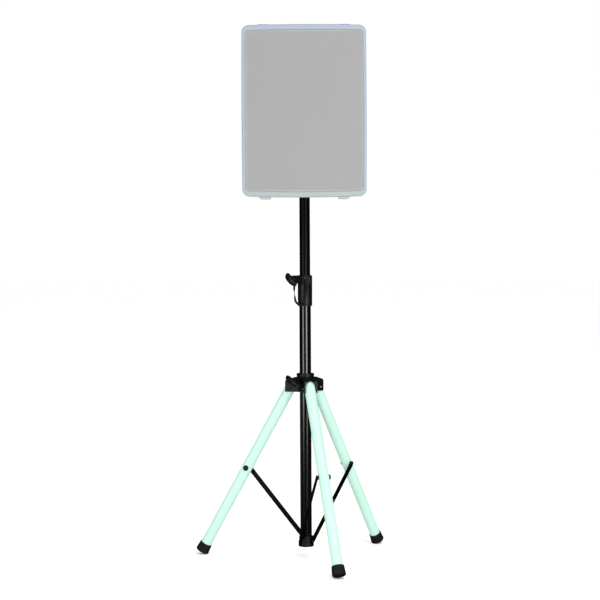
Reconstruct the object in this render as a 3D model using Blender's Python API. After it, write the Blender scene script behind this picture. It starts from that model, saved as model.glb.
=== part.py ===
"""PA loudspeaker on a tripod stand with lit tube legs.

Units are metres, +Z is up and the front faces -Y. Every piece hangs under an empty on the mast's
axis; the last step moves that empty so that the origin is at the middle of the box, on the floor.
"""
from math import cos, hypot, pi, radians, sin

import bmesh
import bpy
from mathutils import Vector

GAP = 0.0003                  # clearance between neighbouring pieces
ROUND = 24                    # sides of a turned piece
ROUND_SMALL = 12              # sides of a bolt or a stud
ROUND_INNER = 20              # sides of a turned piece inside the cabinet

# Directions around the mast, in degrees from -Y towards +X
LEG_AZIMUTH = {"front": 16.5, "right": 136.5, "left": -103.5}
KNOB_AZIMUTH = -43.5
INLET_AZIMUTH = 196.5

# Masts
OUTER_R = 0.0190
OUTER_BORE_R = 0.0178
OUTER_BOTTOM_Z = 0.0465
OUTER_TOP_Z = 0.9250
INNER_R = 0.0174
INNER_BORE_R = 0.0159
INNER_BOTTOM_Z = 0.3000
INNER_TOP_Z = 1.2640

# Legs, braces and the linkage that opens them
LEG_TILT = radians(29.1)
LEG_LENGTH = 0.6375           # pivot to the middle of the foot's sole
LEG_PIVOT_R = 0.0506
PIVOT_PIN_R = 0.0025
PIVOT_HEAD_R = 0.0036
LEG_TUBE_R = 0.0175
LEG_TUBE_BORE_R = 0.0160
LEG_DOME_START = 0.0045       # above the pivot
LEG_DOME_HEIGHT = 0.0200
BRACE_ON_LEG = 0.3097         # pivot to brace bolt, along the leg
BRACE_PIVOT_R = 0.0060
BRACE_PIVOT_Z = 0.0570
BRACE_X = 0.0228              # sideways from the leg's middle plane to the brace's
BRACE_THICK = 0.0030
BRACE_WIDTH = 0.0155

# Rubber foot
FOOT_SOLE_R = 0.0230
FOOT_RIM_R = 0.0203
FOOT_LENGTH = 0.0325
FOOT_SOLE_THICK = 0.0100
FOOT_EDGE_R = 0.0050

# The foot stands on its rounded inner edge, which sets the height of the sole and of the pivot
SOLE_Z = FOOT_EDGE_R * (1 - cos(LEG_TILT)) + (FOOT_SOLE_R - FOOT_EDGE_R) * sin(LEG_TILT)
LEG_PIVOT_Z = LEG_LENGTH * cos(LEG_TILT) + SOLE_Z

# The brace reaches from its pivot on the lower hub to its bolt on the leg
BOLT_R = LEG_PIVOT_R + BRACE_ON_LEG * sin(LEG_TILT)
BOLT_Z = LEG_PIVOT_Z - BRACE_ON_LEG * cos(LEG_TILT)
BRACE_LENGTH = hypot(BOLT_R - BRACE_PIVOT_R, BOLT_Z - BRACE_PIVOT_Z)

# Leg hub
HUB_BOTTOM_Z = LEG_PIVOT_Z - 0.0134
HUB_ARM_TOP_Z = LEG_PIVOT_Z + 0.0354
HUB_TOP_Z = LEG_PIVOT_Z + 0.0470
HUB_CORE_R = 0.0290
HUB_BORE_R = OUTER_R + GAP
HUB_ARM_END = 0.0640
HUB_ARM_HALF = 0.0220
HUB_SLOT_HALF = 0.0182
HUB_KNOB_Z = LEG_PIVOT_Z + 0.0260
HUB_BOSS_END = 0.0500

# Clamp collar
COLLAR_R = 0.0240
COLLAR_BORE_R = OUTER_R + GAP
COLLAR_BOTTOM_Z = 0.8360
COLLAR_TOP_Z = 0.9380
CLAMP_KNOB_Z = 0.9245
CLAMP_BOSS_END = 0.0540
PIN_Z = 0.9280

# Lower hub
LOWER_HUB_R = 0.0255
LOWER_HUB_BOTTOM_Z = 0.0400
LOWER_HUB_TOP_Z = 0.0745
LOWER_HUB_FLAT_X = BRACE_X - BRACE_THICK / 2 - GAP

# Cabinet, seen from the front and in depth
CABINET_HALF_WIDTH = 0.1985
CABINET_BOTTOM_Z = 1.1910     # at the middle; the corners are higher by the bow
CABINET_TOP_Z = 1.7425
CABINET_BOTTOM_BOW = 0.0032
CABINET_TOP_BOW = 0.0025
CABINET_SIDE_BOW = 0.0012
CABINET_CORNER_R = 0.0230
CABINET_FRONT_Y = -0.1700
CABINET_SPLIT_Y = -0.1380     # front frame ends, rear shell starts
CABINET_TAPER_Y = 0.1200
CABINET_BACK_Y = 0.1500
BACK_INSET_SIDE = 0.0380      # how much smaller each side is at CABINET_TAPER_Y
BACK_INSET_END = 0.0080       # the same for the top and the bottom
WALL = 0.0050
GRILLE_RIM_SIDE = 0.0100
GRILLE_RIM_END = 0.0170
GRILLE_THICK = 0.0012
FOAM_THICK = 0.0050
BAFFLE_THICK = 0.0120
FOOT_BOTTOM_Z = 1.1885
RAIL_TOP_Z = 1.7480
CABINET_FOOT_X = 0.1295
CABINET_FOOT_HALF = 0.0175

# Drivers
WOOFER_Z = 1.3620
WOOFER_HOLE_R = 0.1400
PORT_R = 0.0260
PORT_X = 0.1480
PORT_Z = 1.2400
CONE_DEPTH = 0.0560
VOICE_COIL_R = 0.0325
HORN_Z = 1.6300
HORN_HALF_WIDTH = 0.1350
HORN_HALF_HEIGHT = 0.0620

# Fittings of the cabinet
TERMINAL_Z = 1.3100
TERMINAL_HALF_WIDTH = 0.0600
TERMINAL_HALF_HEIGHT = 0.0400
SOCKET_X = 0.0260
POLE_SOCKET_R = 0.0300
HANDLE_Y = 0.0
HANDLE_Z = 1.4900
HANDLE_HALF_LENGTH = 0.0600
HANDLE_HALF_HEIGHT = 0.0400
HANDLE_DEPTH = 0.0400
HANDLE_WALL = 0.0030
HANDLE_GRIP_HEIGHT = 0.0240
HANDLE_GRIP_DEPTH = 0.0150

# The strap's route from the pin's head to the clip under the clamp boss, from the mast's axis
STRAP_ROUTE = [
    (0.0000, -0.0345, 0.9226), (0.0022, -0.0345, 0.9130), (0.0048, -0.0335, 0.9020),
    (0.0040, -0.0315, 0.8880), (0.0010, -0.0300, 0.8730), (-0.0030, -0.0290, 0.8560),
    (-0.0090, -0.0280, 0.8435), (-0.0165, -0.0280, 0.8400), (-0.0235, -0.0285, 0.8450),
    (-0.0300, -0.0295, 0.8550), (-0.0335, -0.0315, 0.8680), (-0.0350, -0.0335, 0.8820),
    (-0.0352, -0.0350, 0.8940), (-0.0350, -0.0362, 0.9062),
]
STRAP_TUBE_R = 0.0012


# ---------------------------------------------------------------- scene and materials

def clear_scene():
    for obj in list(bpy.data.objects):
        bpy.data.objects.remove(obj, do_unlink=True)


def make_material(name, color, roughness, metallic=0.0, glow=0.0):
    material = bpy.data.materials.new(name)
    material.use_nodes = True
    shader = material.node_tree.nodes["Principled BSDF"]
    shader.inputs["Base Color"].default_value = (*color, 1.0)
    shader.inputs["Roughness"].default_value = roughness
    shader.inputs["Metallic"].default_value = metallic
    shader.inputs["Emission Color"].default_value = (*color, 1.0)
    shader.inputs["Emission Strength"].default_value = glow
    return material


def make_materials():
    return {
        "black_paint": make_material("black_paint", (0.012, 0.012, 0.013), 0.35),
        "black_plastic": make_material("black_plastic", (0.016, 0.017, 0.018), 0.55),
        "rubber": make_material("rubber", (0.014, 0.015, 0.015), 0.85),
        "grey_rubber": make_material("grey_rubber", (0.42, 0.43, 0.44), 0.80),
        "steel": make_material("steel", (0.60, 0.60, 0.60), 0.30, metallic=1.0),
        "dark_steel": make_material("dark_steel", (0.05, 0.05, 0.05), 0.40, metallic=1.0),
        "aluminium": make_material("aluminium", (0.75, 0.76, 0.77), 0.35, metallic=1.0),
        "lit_tube": make_material("lit_tube", (0.55, 1.0, 0.80), 0.25, glow=1.5),
        "led_strip": make_material("led_strip", (0.70, 1.0, 0.88), 0.40, glow=4.0),
        "cabinet_plastic": make_material("cabinet_plastic", (0.50, 0.56, 0.62), 0.55),
        "grille_steel": make_material("grille_steel", (0.45, 0.45, 0.45), 0.60),
        "foam": make_material("foam", (0.20, 0.20, 0.21), 0.95),
        "cone_paper": make_material("cone_paper", (0.03, 0.03, 0.03), 0.80),
        "circuit_board": make_material("circuit_board", (0.05, 0.16, 0.07), 0.50),
        "webbing": make_material("webbing", (0.012, 0.012, 0.012), 0.80),
    }


# ---------------------------------------------------------------- building blocks

def azimuth_direction(degrees):
    angle = radians(degrees)
    return Vector((sin(angle), -cos(angle), 0.0))


def make_empty(name, location, rotation=(0, 0, 0), parent=None):
    empty = bpy.data.objects.new(name, None)
    empty.location = location
    empty.rotation_euler = rotation
    empty.parent = parent
    bpy.context.scene.collection.objects.link(empty)
    return empty


def make_object(name, bm, material, parent, location=(0, 0, 0), rotation=(0, 0, 0)):
    """Turn a bmesh into a named object with outward faces and smooth round sides."""
    bmesh.ops.recalc_face_normals(bm, faces=bm.faces[:])
    mesh = bpy.data.meshes.new(name)
    bm.to_mesh(mesh)
    bm.free()
    mesh.shade_smooth()
    mesh.set_sharp_from_angle(angle=radians(35))
    mesh.materials.append(material)
    obj = bpy.data.objects.new(name, mesh)
    obj.location = location
    obj.rotation_euler = rotation
    obj.parent = parent
    bpy.context.scene.collection.objects.link(obj)
    return obj


def combine(obj, tool, operation):
    """Join or cut obj with a tool object that isn't itself part of the model."""
    tool.hide_render = True
    tool.display_type = "WIRE"
    modifier = obj.modifiers.new(tool.name, "BOOLEAN")
    modifier.operation = operation
    modifier.solver = "EXACT"
    modifier.object = tool


def cut(obj, tool):
    combine(obj, tool, "DIFFERENCE")


def join(obj, tool):
    combine(obj, tool, "UNION")


def turned(profile, sides=ROUND, axis="Z"):
    """Revolve a closed outline of (radius, height) points around an axis.

    Points on the axis become single vertices, so a solid piece starts and ends at radius 0.
    """
    bm = bmesh.new()
    rings = []
    for radius, height in profile:
        if radius < 1e-7:
            rings.append([bm.verts.new((0, 0, height))] * sides)
            continue
        angles = [2 * pi * i / sides for i in range(sides)]
        rings.append([bm.verts.new((radius * cos(a), radius * sin(a), height)) for a in angles])
    for lower, upper in zip(rings, rings[1:] + rings[:1]):
        bridge(bm, lower, upper)
    if axis == "X":
        turn = Vector((0, 0, 1)).rotation_difference(Vector((1, 0, 0))).to_matrix()
        bmesh.ops.rotate(bm, verts=bm.verts[:], cent=(0, 0, 0), matrix=turn)
    if axis == "Y":
        turn = Vector((0, 0, 1)).rotation_difference(Vector((0, 1, 0))).to_matrix()
        bmesh.ops.rotate(bm, verts=bm.verts[:], cent=(0, 0, 0), matrix=turn)
    return bm


def bridge(bm, lower, upper):
    """Faces between two rings of the same count, either of which may be a single point."""
    count = len(lower)
    for i in range(count):
        j = (i + 1) % count
        corners = []
        for vert in (lower[i], lower[j], upper[j], upper[i]):
            if vert not in corners:
                corners.append(vert)
        if len(corners) > 2:
            bm.faces.new(corners)


def cylinder_profile(radius, low, high):
    return [(0, low), (radius, low), (radius, high), (0, high)]


def pipe_profile(outer, inner, low, high):
    return [(inner, low), (outer, low), (outer, high), (inner, high)]


def arc(center, radius, start, end, steps):
    """Points of a circular arc; angles in degrees."""
    points = []
    for i in range(steps + 1):
        angle = radians(start + (end - start) * i / steps)
        points.append((center[0] + radius * cos(angle), center[1] + radius * sin(angle)))
    return points


def block(low, high, bevel=0.0, segments=2):
    """A box between two corners, with its edges rounded."""
    bm = bmesh.new()
    bmesh.ops.create_cube(bm, size=1.0)
    low, high = Vector(low), Vector(high)
    size = high - low
    for vert in bm.verts:
        vert.co = low + Vector(((vert.co[i] + 0.5) * size[i] for i in range(3)))
    if bevel:
        bmesh.ops.bevel(bm, geom=bm.edges[:], offset=bevel, segments=segments, affect="EDGES")
    return bm


def prism(outline, low, high, axis="X"):
    """Extrude a flat outline of 2-D points along one axis."""
    bm = bmesh.new()
    place = {
        "X": lambda p, d: (d, p[0], p[1]),
        "Y": lambda p, d: (p[0], d, p[1]),
        "Z": lambda p, d: (p[0], p[1], d),
    }[axis]
    near = [bm.verts.new(place(p, low)) for p in outline]
    far = [bm.verts.new(place(p, high)) for p in outline]
    bridge(bm, near, far)
    bm.faces.new(near)
    bm.faces.new(far)
    return bm


def loft(rings, capped=True):
    """A skin through rings of 3-D points; closed by caps, or back onto its first ring."""
    bm = bmesh.new()
    rows = [[bm.verts.new(point) for point in ring] for ring in rings]
    for lower, upper in zip(rows, rows[1:]):
        bridge(bm, lower, upper)
    if capped:
        bm.faces.new(rows[0])
        bm.faces.new(rows[-1])
    else:
        bridge(bm, rows[-1], rows[0])
    return bm


# ---------------------------------------------------------------- masts and collar

def make_outer_tube(parent, materials):
    tube = make_object(
        "outer_tube",
        turned(pipe_profile(OUTER_R, OUTER_BORE_R, OUTER_BOTTOM_Z, OUTER_TOP_Z)),
        materials["black_paint"], parent)
    cut(tube, pin_hole("outer_tube_pin_hole", parent))
    cut(tube, stud_hole("outer_tube_clamp_hole", parent, CLAMP_KNOB_Z))
    end = OUTER_BOTTOM_Z - GAP
    make_object(
        "mast_end_plug",
        turned([(0, 0.0402), (0.0186, 0.0402), (0.0186, end), (0.0174, end),
                (0.0174, 0.0620), (0, 0.0620)]),
        materials["black_plastic"], parent)


def pin_hole(name, parent):
    hole = turned(cylinder_profile(0.0030, -0.0500, -0.0100), ROUND_SMALL, axis="Y")
    return make_object(name, hole, None, parent, location=(0, 0, PIN_Z))


def stud_hole(name, parent, height, inner=0.0100, outer=0.0800, radius=0.0044):
    """A hole that runs outwards from the mast in the direction of the knobs."""
    hole = turned(cylinder_profile(radius, -outer, -inner), ROUND_SMALL, axis="Y")
    return make_object(name, hole, None, parent, location=(0, 0, height),
                       rotation=(0, 0, radians(KNOB_AZIMUTH)))


def make_clamp_collar(parent, materials):
    lip = COLLAR_TOP_Z - 0.0120
    profile = [
        (COLLAR_BORE_R, COLLAR_BOTTOM_Z), (COLLAR_R - 0.0010, COLLAR_BOTTOM_Z),
        (COLLAR_R, COLLAR_BOTTOM_Z + 0.0030), (COLLAR_R, COLLAR_TOP_Z - 0.0030),
        (COLLAR_R - 0.0025, COLLAR_TOP_Z), (OUTER_BORE_R, COLLAR_TOP_Z),
        (OUTER_BORE_R, lip), (COLLAR_BORE_R, lip),
    ]
    collar = make_object("clamp_collar", turned(profile), materials["black_plastic"], parent)
    boss = block((-0.0110, -CLAMP_BOSS_END, 0.9110), (0.0110, -0.0215, 0.9375), bevel=0.0030)
    join(collar, make_object("clamp_boss", boss, None, parent,
                             rotation=(0, 0, radians(KNOB_AZIMUTH))))
    pin_block = block((-0.0090, -0.0310, 0.9100), (0.0190, -0.0198, 0.9360), bevel=0.0020)
    join(collar, make_object("pin_block", pin_block, None, parent))
    cut(collar, pin_hole("collar_pin_hole", parent))
    cut(collar, stud_hole("collar_clamp_hole", parent, CLAMP_KNOB_Z))


def wing_outline(radius_y, radius_z, bend, count=12):
    """One slice across the wing of a knob, bent away from the mast."""
    ring = []
    for i in range(count):
        angle = 2 * pi * i / count
        ring.append((radius_y * cos(angle) - bend, radius_z * sin(angle)))
    return ring


def make_knob(name, parent, materials, boss_end, height, turn):
    """A wing knob: a bent bar on a short neck, moulded onto a stud that runs in to the mast."""
    axis = make_empty(name + "_axis", (0, 0, height), (0, 0, radians(KNOB_AZIMUTH)), parent)
    spin = make_empty(name + "_spin", (0, 0, 0), (0, turn, 0), axis)
    neck_start = boss_end + 0.0005
    middle = boss_end + 0.0135
    stations = [(-0.0290, 0.30), (-0.0265, 0.68), (-0.0210, 0.92), (-0.0110, 1.0), (0.0, 1.0),
                (0.0110, 1.0), (0.0210, 0.92), (0.0265, 0.68), (0.0290, 0.30)]
    rings = []
    for along, size in stations:
        bend = middle - 3.5 * along * along
        rings.append([(along, y, z) for y, z in wing_outline(0.0068 * size, 0.0085 * size, bend)])
    knob = make_object(name, loft(rings), materials["black_plastic"], spin)
    neck = turned(cylinder_profile(0.0090, -middle, -neck_start), ROUND_SMALL, axis="Y")
    join(knob, make_object(name + "_neck", neck, None, spin))
    stud = turned(cylinder_profile(0.0040, -middle, -OUTER_R - GAP), ROUND_SMALL, axis="Y")
    join(knob, make_object(name + "_stud", stud, None, spin))


def make_safety_pin(parent, materials):
    shank = 0.0025
    profile = [(0, -0.0375), (0.0036, -0.0372), (0.0046, -0.0360), (0.0046, -0.0330),
               (0.0036, -0.0318), (shank, -0.0318), (shank, -0.0190), (0.0012, -0.0180),
               (0, -0.0180)]
    make_object("safety_pin", turned(profile, ROUND_SMALL, axis="Y"), materials["steel"], parent,
                location=(0, 0, PIN_Z))


def smooth_route(route, pieces):
    """Catmull-Rom points through a route, so that it bends like cloth and not like wire."""
    points = [Vector(p) for p in route]
    padded = [2 * points[0] - points[1]] + points + [2 * points[-1] - points[-2]]
    result = []
    for a, b, c, d in zip(padded, padded[1:], padded[2:], padded[3:]):
        for step in range(pieces):
            t = step / pieces
            result.append(0.5 * (2 * b + (c - a) * t + (2 * a - 5 * b + 4 * c - d) * t * t
                                 + (3 * b - a - 3 * c + d) * t ** 3))
    result.append(points[-1])
    return result


def make_strap(parent, materials):
    clip_at = azimuth_direction(KNOB_AZIMUTH) * 0.0504
    clip = turned(cylinder_profile(0.0042, 0.9066, 0.9106), ROUND_SMALL)
    make_object("strap_clip", clip, materials["steel"], parent, location=clip_at)
    curve = bpy.data.curves.new("pin_strap", "CURVE")
    curve.dimensions = "3D"
    curve.bevel_depth = STRAP_TUBE_R
    curve.bevel_resolution = 2
    curve.use_fill_caps = True
    points = smooth_route(STRAP_ROUTE, 2)
    spline = curve.splines.new("POLY")
    spline.points.add(len(points) - 1)
    for spot, point in zip(spline.points, points):
        spot.co = (*point, 1.0)
    curve.materials.append(materials["webbing"])
    strap = bpy.data.objects.new("pin_strap", curve)
    strap.parent = parent
    bpy.context.scene.collection.objects.link(strap)


def make_inner_mast(parent, materials):
    make_object("inner_tube",
                turned(pipe_profile(INNER_R, INNER_BORE_R, INNER_BOTTOM_Z, INNER_TOP_Z)),
                materials["black_paint"], parent)
    low, spigot = INNER_BOTTOM_Z - GAP, INNER_BORE_R - GAP
    make_object("inner_tube_guide",
                turned([(0, low - 0.0120), (INNER_R, low - 0.0120), (INNER_R, low), (spigot, low),
                        (spigot, low + 0.0180), (0, low + 0.0180)]),
                materials["black_plastic"], parent)


# ---------------------------------------------------------------- hubs

def make_lower_hub(parent, materials):
    bore = OUTER_R + GAP
    profile = [
        (bore, LOWER_HUB_BOTTOM_Z), (LOWER_HUB_R - 0.0015, LOWER_HUB_BOTTOM_Z),
        (LOWER_HUB_R, LOWER_HUB_BOTTOM_Z + 0.0015), (LOWER_HUB_R, 0.0480), (0.0235, 0.0520),
        (0.0235, LOWER_HUB_TOP_Z - 0.0020), (0.0220, LOWER_HUB_TOP_Z), (bore, LOWER_HUB_TOP_Z),
    ]
    hub = make_object("lower_hub", turned(profile), materials["black_plastic"], parent)
    for side, azimuth in LEG_AZIMUTH.items():
        turn = (0, 0, radians(azimuth))
        flat = block((-0.0500, -0.0500, 0.0465), (-LOWER_HUB_FLAT_X, 0.0060, 0.1000))
        cut(hub, make_object("lower_hub_flat_" + side, flat, None, parent, rotation=turn))
        seat = turned(cylinder_profile(0.0030 + GAP, -0.0400, -0.0150), ROUND_SMALL, axis="X")
        cut(hub, make_object("lower_hub_seat_" + side, seat, None, parent, rotation=turn,
                             location=brace_pivot(azimuth)))
        head = LOWER_HUB_FLAT_X + GAP + BRACE_THICK + GAP
        bolt = turned([(0, -head - 0.0028), (0.0040, -head - 0.0028), (0.0055, -head - 0.0014),
                       (0.0055, -head), (0.0030, -head), (0.0030, -0.0196), (0, -0.0196)],
                      ROUND_SMALL, axis="X")
        make_object("brace_pivot_bolt_" + side, bolt, materials["steel"], parent, rotation=turn,
                    location=brace_pivot(azimuth))


def brace_pivot(azimuth):
    spot = azimuth_direction(azimuth) * BRACE_PIVOT_R
    return (spot.x, spot.y, BRACE_PIVOT_Z)


def hub_arm_outline():
    """Side view of one arm of the leg hub: (distance from the mast outwards, height)."""
    end, top = HUB_ARM_END, HUB_ARM_TOP_Z
    return [(-0.0150, HUB_BOTTOM_Z), (-end, HUB_BOTTOM_Z), (-end, top - 0.0130),
            (-end + 0.0030, top - 0.0095), (-0.0290, top), (-0.0150, top)]


def hub_slot_outline():
    """Side view of the space that a leg's top swings in."""
    ceiling = LEG_PIVOT_Z + LEG_DOME_START + LEG_DOME_HEIGHT + 0.0010
    low = HUB_BOTTOM_Z - 0.0200
    return [(-0.0280, low), (-0.0900, low), (-0.0900, ceiling - 0.0080),
            (-HUB_ARM_END, ceiling - 0.0056), (-0.0600, ceiling - 0.0024),
            (-LEG_PIVOT_R, ceiling), (-0.0280, ceiling)]


def make_leg_hub(parent, materials):
    core = turned([(0, HUB_BOTTOM_Z), (HUB_CORE_R, HUB_BOTTOM_Z), (HUB_CORE_R, HUB_TOP_Z - 0.0020),
                   (HUB_CORE_R - 0.0020, HUB_TOP_Z), (0, HUB_TOP_Z)])
    hub = make_object("leg_hub", core, materials["black_plastic"], parent)
    boss = block((-0.0100, -HUB_BOSS_END, HUB_KNOB_Z - 0.0110),
                 (0.0100, -0.0240, HUB_KNOB_Z + 0.0110), bevel=0.0020)
    join(hub, make_object("hub_boss", boss, None, parent, rotation=(0, 0, radians(KNOB_AZIMUTH))))
    turns = {side: (0, 0, radians(azimuth)) for side, azimuth in LEG_AZIMUTH.items()}
    for side, turn in turns.items():
        arm = prism(hub_arm_outline(), -HUB_ARM_HALF, HUB_ARM_HALF)
        join(hub, make_object("hub_arm_" + side, arm, None, parent, rotation=turn))
    for side, turn in turns.items():
        slot = prism(hub_slot_outline(), -HUB_SLOT_HALF, HUB_SLOT_HALF)
        cut(hub, make_object("hub_slot_" + side, slot, None, parent, rotation=turn))
        hole = turned(cylinder_profile(PIVOT_PIN_R + GAP, -0.0400, 0.0400), ROUND_SMALL, axis="X")
        spot = azimuth_direction(LEG_AZIMUTH[side]) * LEG_PIVOT_R
        cut(hub, make_object("hub_bolt_hole_" + side, hole, None, parent, rotation=turn,
                             location=(spot.x, spot.y, LEG_PIVOT_Z)))
    bore = turned(cylinder_profile(HUB_BORE_R, 0.4500, 0.7000))
    cut(hub, make_object("hub_bore", bore, None, parent))
    cut(hub, stud_hole("hub_stud_hole", parent, HUB_KNOB_Z))


def make_pivot_bolts(parent, materials):
    inner, outer = HUB_ARM_HALF + GAP, HUB_ARM_HALF + 0.0030
    edge = 0.0012
    head = [(PIVOT_HEAD_R, inner), (PIVOT_HEAD_R, outer - edge), (PIVOT_HEAD_R - edge, outer)]
    far_head = [(radius, -along) for radius, along in reversed(head)]
    profile = [(0, -outer)] + far_head + [(PIVOT_PIN_R, -inner), (PIVOT_PIN_R, inner)]
    profile += head + [(0, outer)]
    for side, azimuth in LEG_AZIMUTH.items():
        spot = azimuth_direction(azimuth) * LEG_PIVOT_R
        make_object("leg_pivot_bolt_" + side, turned(profile, ROUND_SMALL, axis="X"),
                    materials["steel"], parent, location=(spot.x, spot.y, LEG_PIVOT_Z),
                    rotation=(0, 0, radians(azimuth)))


def make_power_inlet(parent, materials):
    """The socket that feeds the lit legs, on the rear of the leg hub; its plug comes from below."""
    turn = (0, 0, radians(INLET_AZIMUTH))
    start, end = -HUB_CORE_R - GAP, -HUB_CORE_R - 0.0130
    low, high = HUB_BOTTOM_Z + 0.0040, HUB_BOTTOM_Z + 0.0260
    box = make_object("power_inlet", block((-0.0064, end, low), (0.0064, start, high)),
                      materials["black_plastic"], parent, rotation=turn)
    spot = azimuth_direction(INLET_AZIMUTH) * -(start + end) * 0.5
    well = turned(cylinder_profile(0.0045, low - 0.0100, low + 0.0120), ROUND_SMALL)
    cut(box, make_object("power_well", well, None, parent, location=(spot.x, spot.y, 0)))


# ---------------------------------------------------------------- legs and braces

def cross_hole(name, parent, radius, height):
    hole = turned(cylinder_profile(radius + GAP, -0.0300, 0.0300), ROUND_SMALL, axis="X")
    return make_object(name, hole, None, parent, location=(0, 0, height))


def make_leg(side, azimuth, parent, materials):
    """One leg in its own frame: origin on the hinge, -Z down the leg, -Y away from the mast."""
    spot = azimuth_direction(azimuth) * LEG_PIVOT_R
    leg = make_empty("leg_" + side, (spot.x, spot.y, LEG_PIVOT_Z),
                     (-LEG_TILT, 0, radians(azimuth)), parent)
    end = -LEG_LENGTH + FOOT_SOLE_THICK + GAP
    wall = LEG_TUBE_R - LEG_TUBE_BORE_R
    outer = [(LEG_TUBE_R * c, LEG_DOME_START + LEG_DOME_HEIGHT * s)
             for c, s in arc((0, 0), 1.0, 0, 90, 3)]
    inner = [(LEG_TUBE_BORE_R * c, LEG_DOME_START + (LEG_DOME_HEIGHT - wall) * s)
             for c, s in arc((0, 0), 1.0, 90, 0, 3)]
    profile = [(LEG_TUBE_R, end)] + outer[:-1] + [(0, LEG_DOME_START + LEG_DOME_HEIGHT)]
    profile += [(0, LEG_DOME_START + LEG_DOME_HEIGHT - wall)] + inner[1:]
    profile += [(LEG_TUBE_BORE_R, end)]
    tube = make_object("leg_tube_" + side, turned(profile), materials["lit_tube"], leg)
    cut(tube, cross_hole("tube_pivot_hole_" + side, leg, PIVOT_PIN_R, 0))
    cut(tube, cross_hole("tube_bolt_hole_" + side, leg, 0.0030, -BRACE_ON_LEG))

    spine = make_object("leg_spine_" + side,
                        block((-0.0025, -0.0125, end + 0.0010), (0.0025, 0.0125, 0.0070)),
                        materials["aluminium"], leg)
    cut(spine, cross_hole("spine_pivot_hole_" + side, leg, PIVOT_PIN_R, 0))
    cut(spine, cross_hole("spine_bolt_hole_" + side, leg, 0.0030, -BRACE_ON_LEG))
    make_object("led_strip_" + side,
                block((0.0025 + GAP, 0.0042, end + 0.0040), (0.0045, 0.0118, -0.0080)),
                materials["led_strip"], leg)
    make_leg_foot(side, leg, materials)

    near = LEG_TUBE_R + GAP
    cap = near + 0.0042
    washer = -(BRACE_X - BRACE_THICK / 2 - GAP)
    bolt = [(0, washer), (0.0068, washer), (0.0068, -near), (0.0030, -near), (0.0030, near),
            (0.0092, near), (0.0092, cap - 0.0018), (0.0076, cap), (0, cap)]
    make_object("brace_bolt_" + side, turned(bolt, ROUND_SMALL, axis="X"),
                materials["black_plastic"], leg, location=(0, 0, -BRACE_ON_LEG))


def make_leg_foot(side, leg, materials):
    sole, edge = -LEG_LENGTH, FOOT_EDGE_R
    rim = sole + FOOT_LENGTH
    inner = LEG_TUBE_R + GAP
    rounded = arc((FOOT_SOLE_R - edge, sole + edge), edge, -90, 0, 3)
    profile = [(0, sole)] + rounded + [(FOOT_RIM_R, rim - 0.0010), (FOOT_RIM_R - 0.0007, rim)]
    profile += [(inner, rim), (inner, sole + FOOT_SOLE_THICK), (0, sole + FOOT_SOLE_THICK)]
    make_object("leg_foot_" + side, turned(profile), materials["rubber"], leg)


def make_brace(side, azimuth, parent, materials):
    """One brace in its own frame: origin on its lower pivot, +Z up the brace."""
    rise = BOLT_Z - BRACE_PIVOT_Z
    run = BOLT_R - BRACE_PIVOT_R
    tilt = Vector((rise, run)).angle(Vector((1, 0)))
    brace = make_empty("brace_" + side, brace_pivot(azimuth), (tilt, 0, radians(azimuth)), parent)
    half = BRACE_WIDTH / 2
    outline = arc((0, 0), half, 180, 360, 8) + arc((0, BRACE_LENGTH), half, 0, 180, 8)
    low, high = -BRACE_X - BRACE_THICK / 2, -BRACE_X + BRACE_THICK / 2
    bar = make_object("brace_bar_" + side, prism(outline, low, high), materials["black_paint"],
                      brace)
    hole = turned(cylinder_profile(0.0030 + GAP, -0.0400, -0.0100), ROUND_SMALL, axis="X")
    cut(bar, make_object("brace_hole_" + side, hole, None, brace))
    rivet = turned([(0, low - 0.0018), (0.0028, low - 0.0018), (0.0044, low - 0.0006),
                    (0.0044, low + 0.0010), (0, low + 0.0010)], ROUND_SMALL, axis="X")
    join(bar, make_object("brace_rivet_" + side, rivet, None, brace,
                          location=(0, 0, BRACE_LENGTH)))


# ---------------------------------------------------------------- cabinet

def bottom_z(x):
    return CABINET_BOTTOM_Z + CABINET_BOTTOM_BOW * (x / CABINET_HALF_WIDTH) ** 2


def top_z(x):
    return CABINET_TOP_Z - CABINET_TOP_BOW * (x / CABINET_HALF_WIDTH) ** 2


def cabinet_outline(side_inset=0.0, end_inset=0.0, corner=CABINET_CORNER_R, steps=4, spans=4):
    """Front view of the cabinet, (x, z), anticlockwise: bowed edges between round corners."""
    half = CABINET_HALF_WIDTH - side_inset
    low, high = CABINET_BOTTOM_Z + end_inset, CABINET_TOP_Z - end_inset
    flat = half - corner
    low_corner = low + CABINET_BOTTOM_BOW + corner
    high_corner = high - CABINET_TOP_BOW - corner
    points = []
    for i in range(spans):
        x = -flat + 2 * flat * i / spans
        points.append((x, low + CABINET_BOTTOM_BOW * (x / flat) ** 2))
    points += arc((flat, low_corner), corner, -90, 0, steps)
    middle = (low_corner + high_corner) / 2
    points.append((half + CABINET_SIDE_BOW, middle))
    points += arc((flat, high_corner), corner, 0, 90, steps)
    for i in range(1, spans):
        x = flat - 2 * flat * i / spans
        points.append((x, high - CABINET_TOP_BOW * (x / flat) ** 2))
    points += arc((-flat, high_corner), corner, 90, 180, steps)
    points.append((-half - CABINET_SIDE_BOW, middle))
    points += arc((-flat, low_corner), corner, 180, 270, steps)[:-1]
    return points


def ring_at(y, side_inset=0.0, end_inset=0.0, corner=CABINET_CORNER_R):
    return [(x, y, z) for x, z in cabinet_outline(side_inset, end_inset, corner)]


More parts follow.
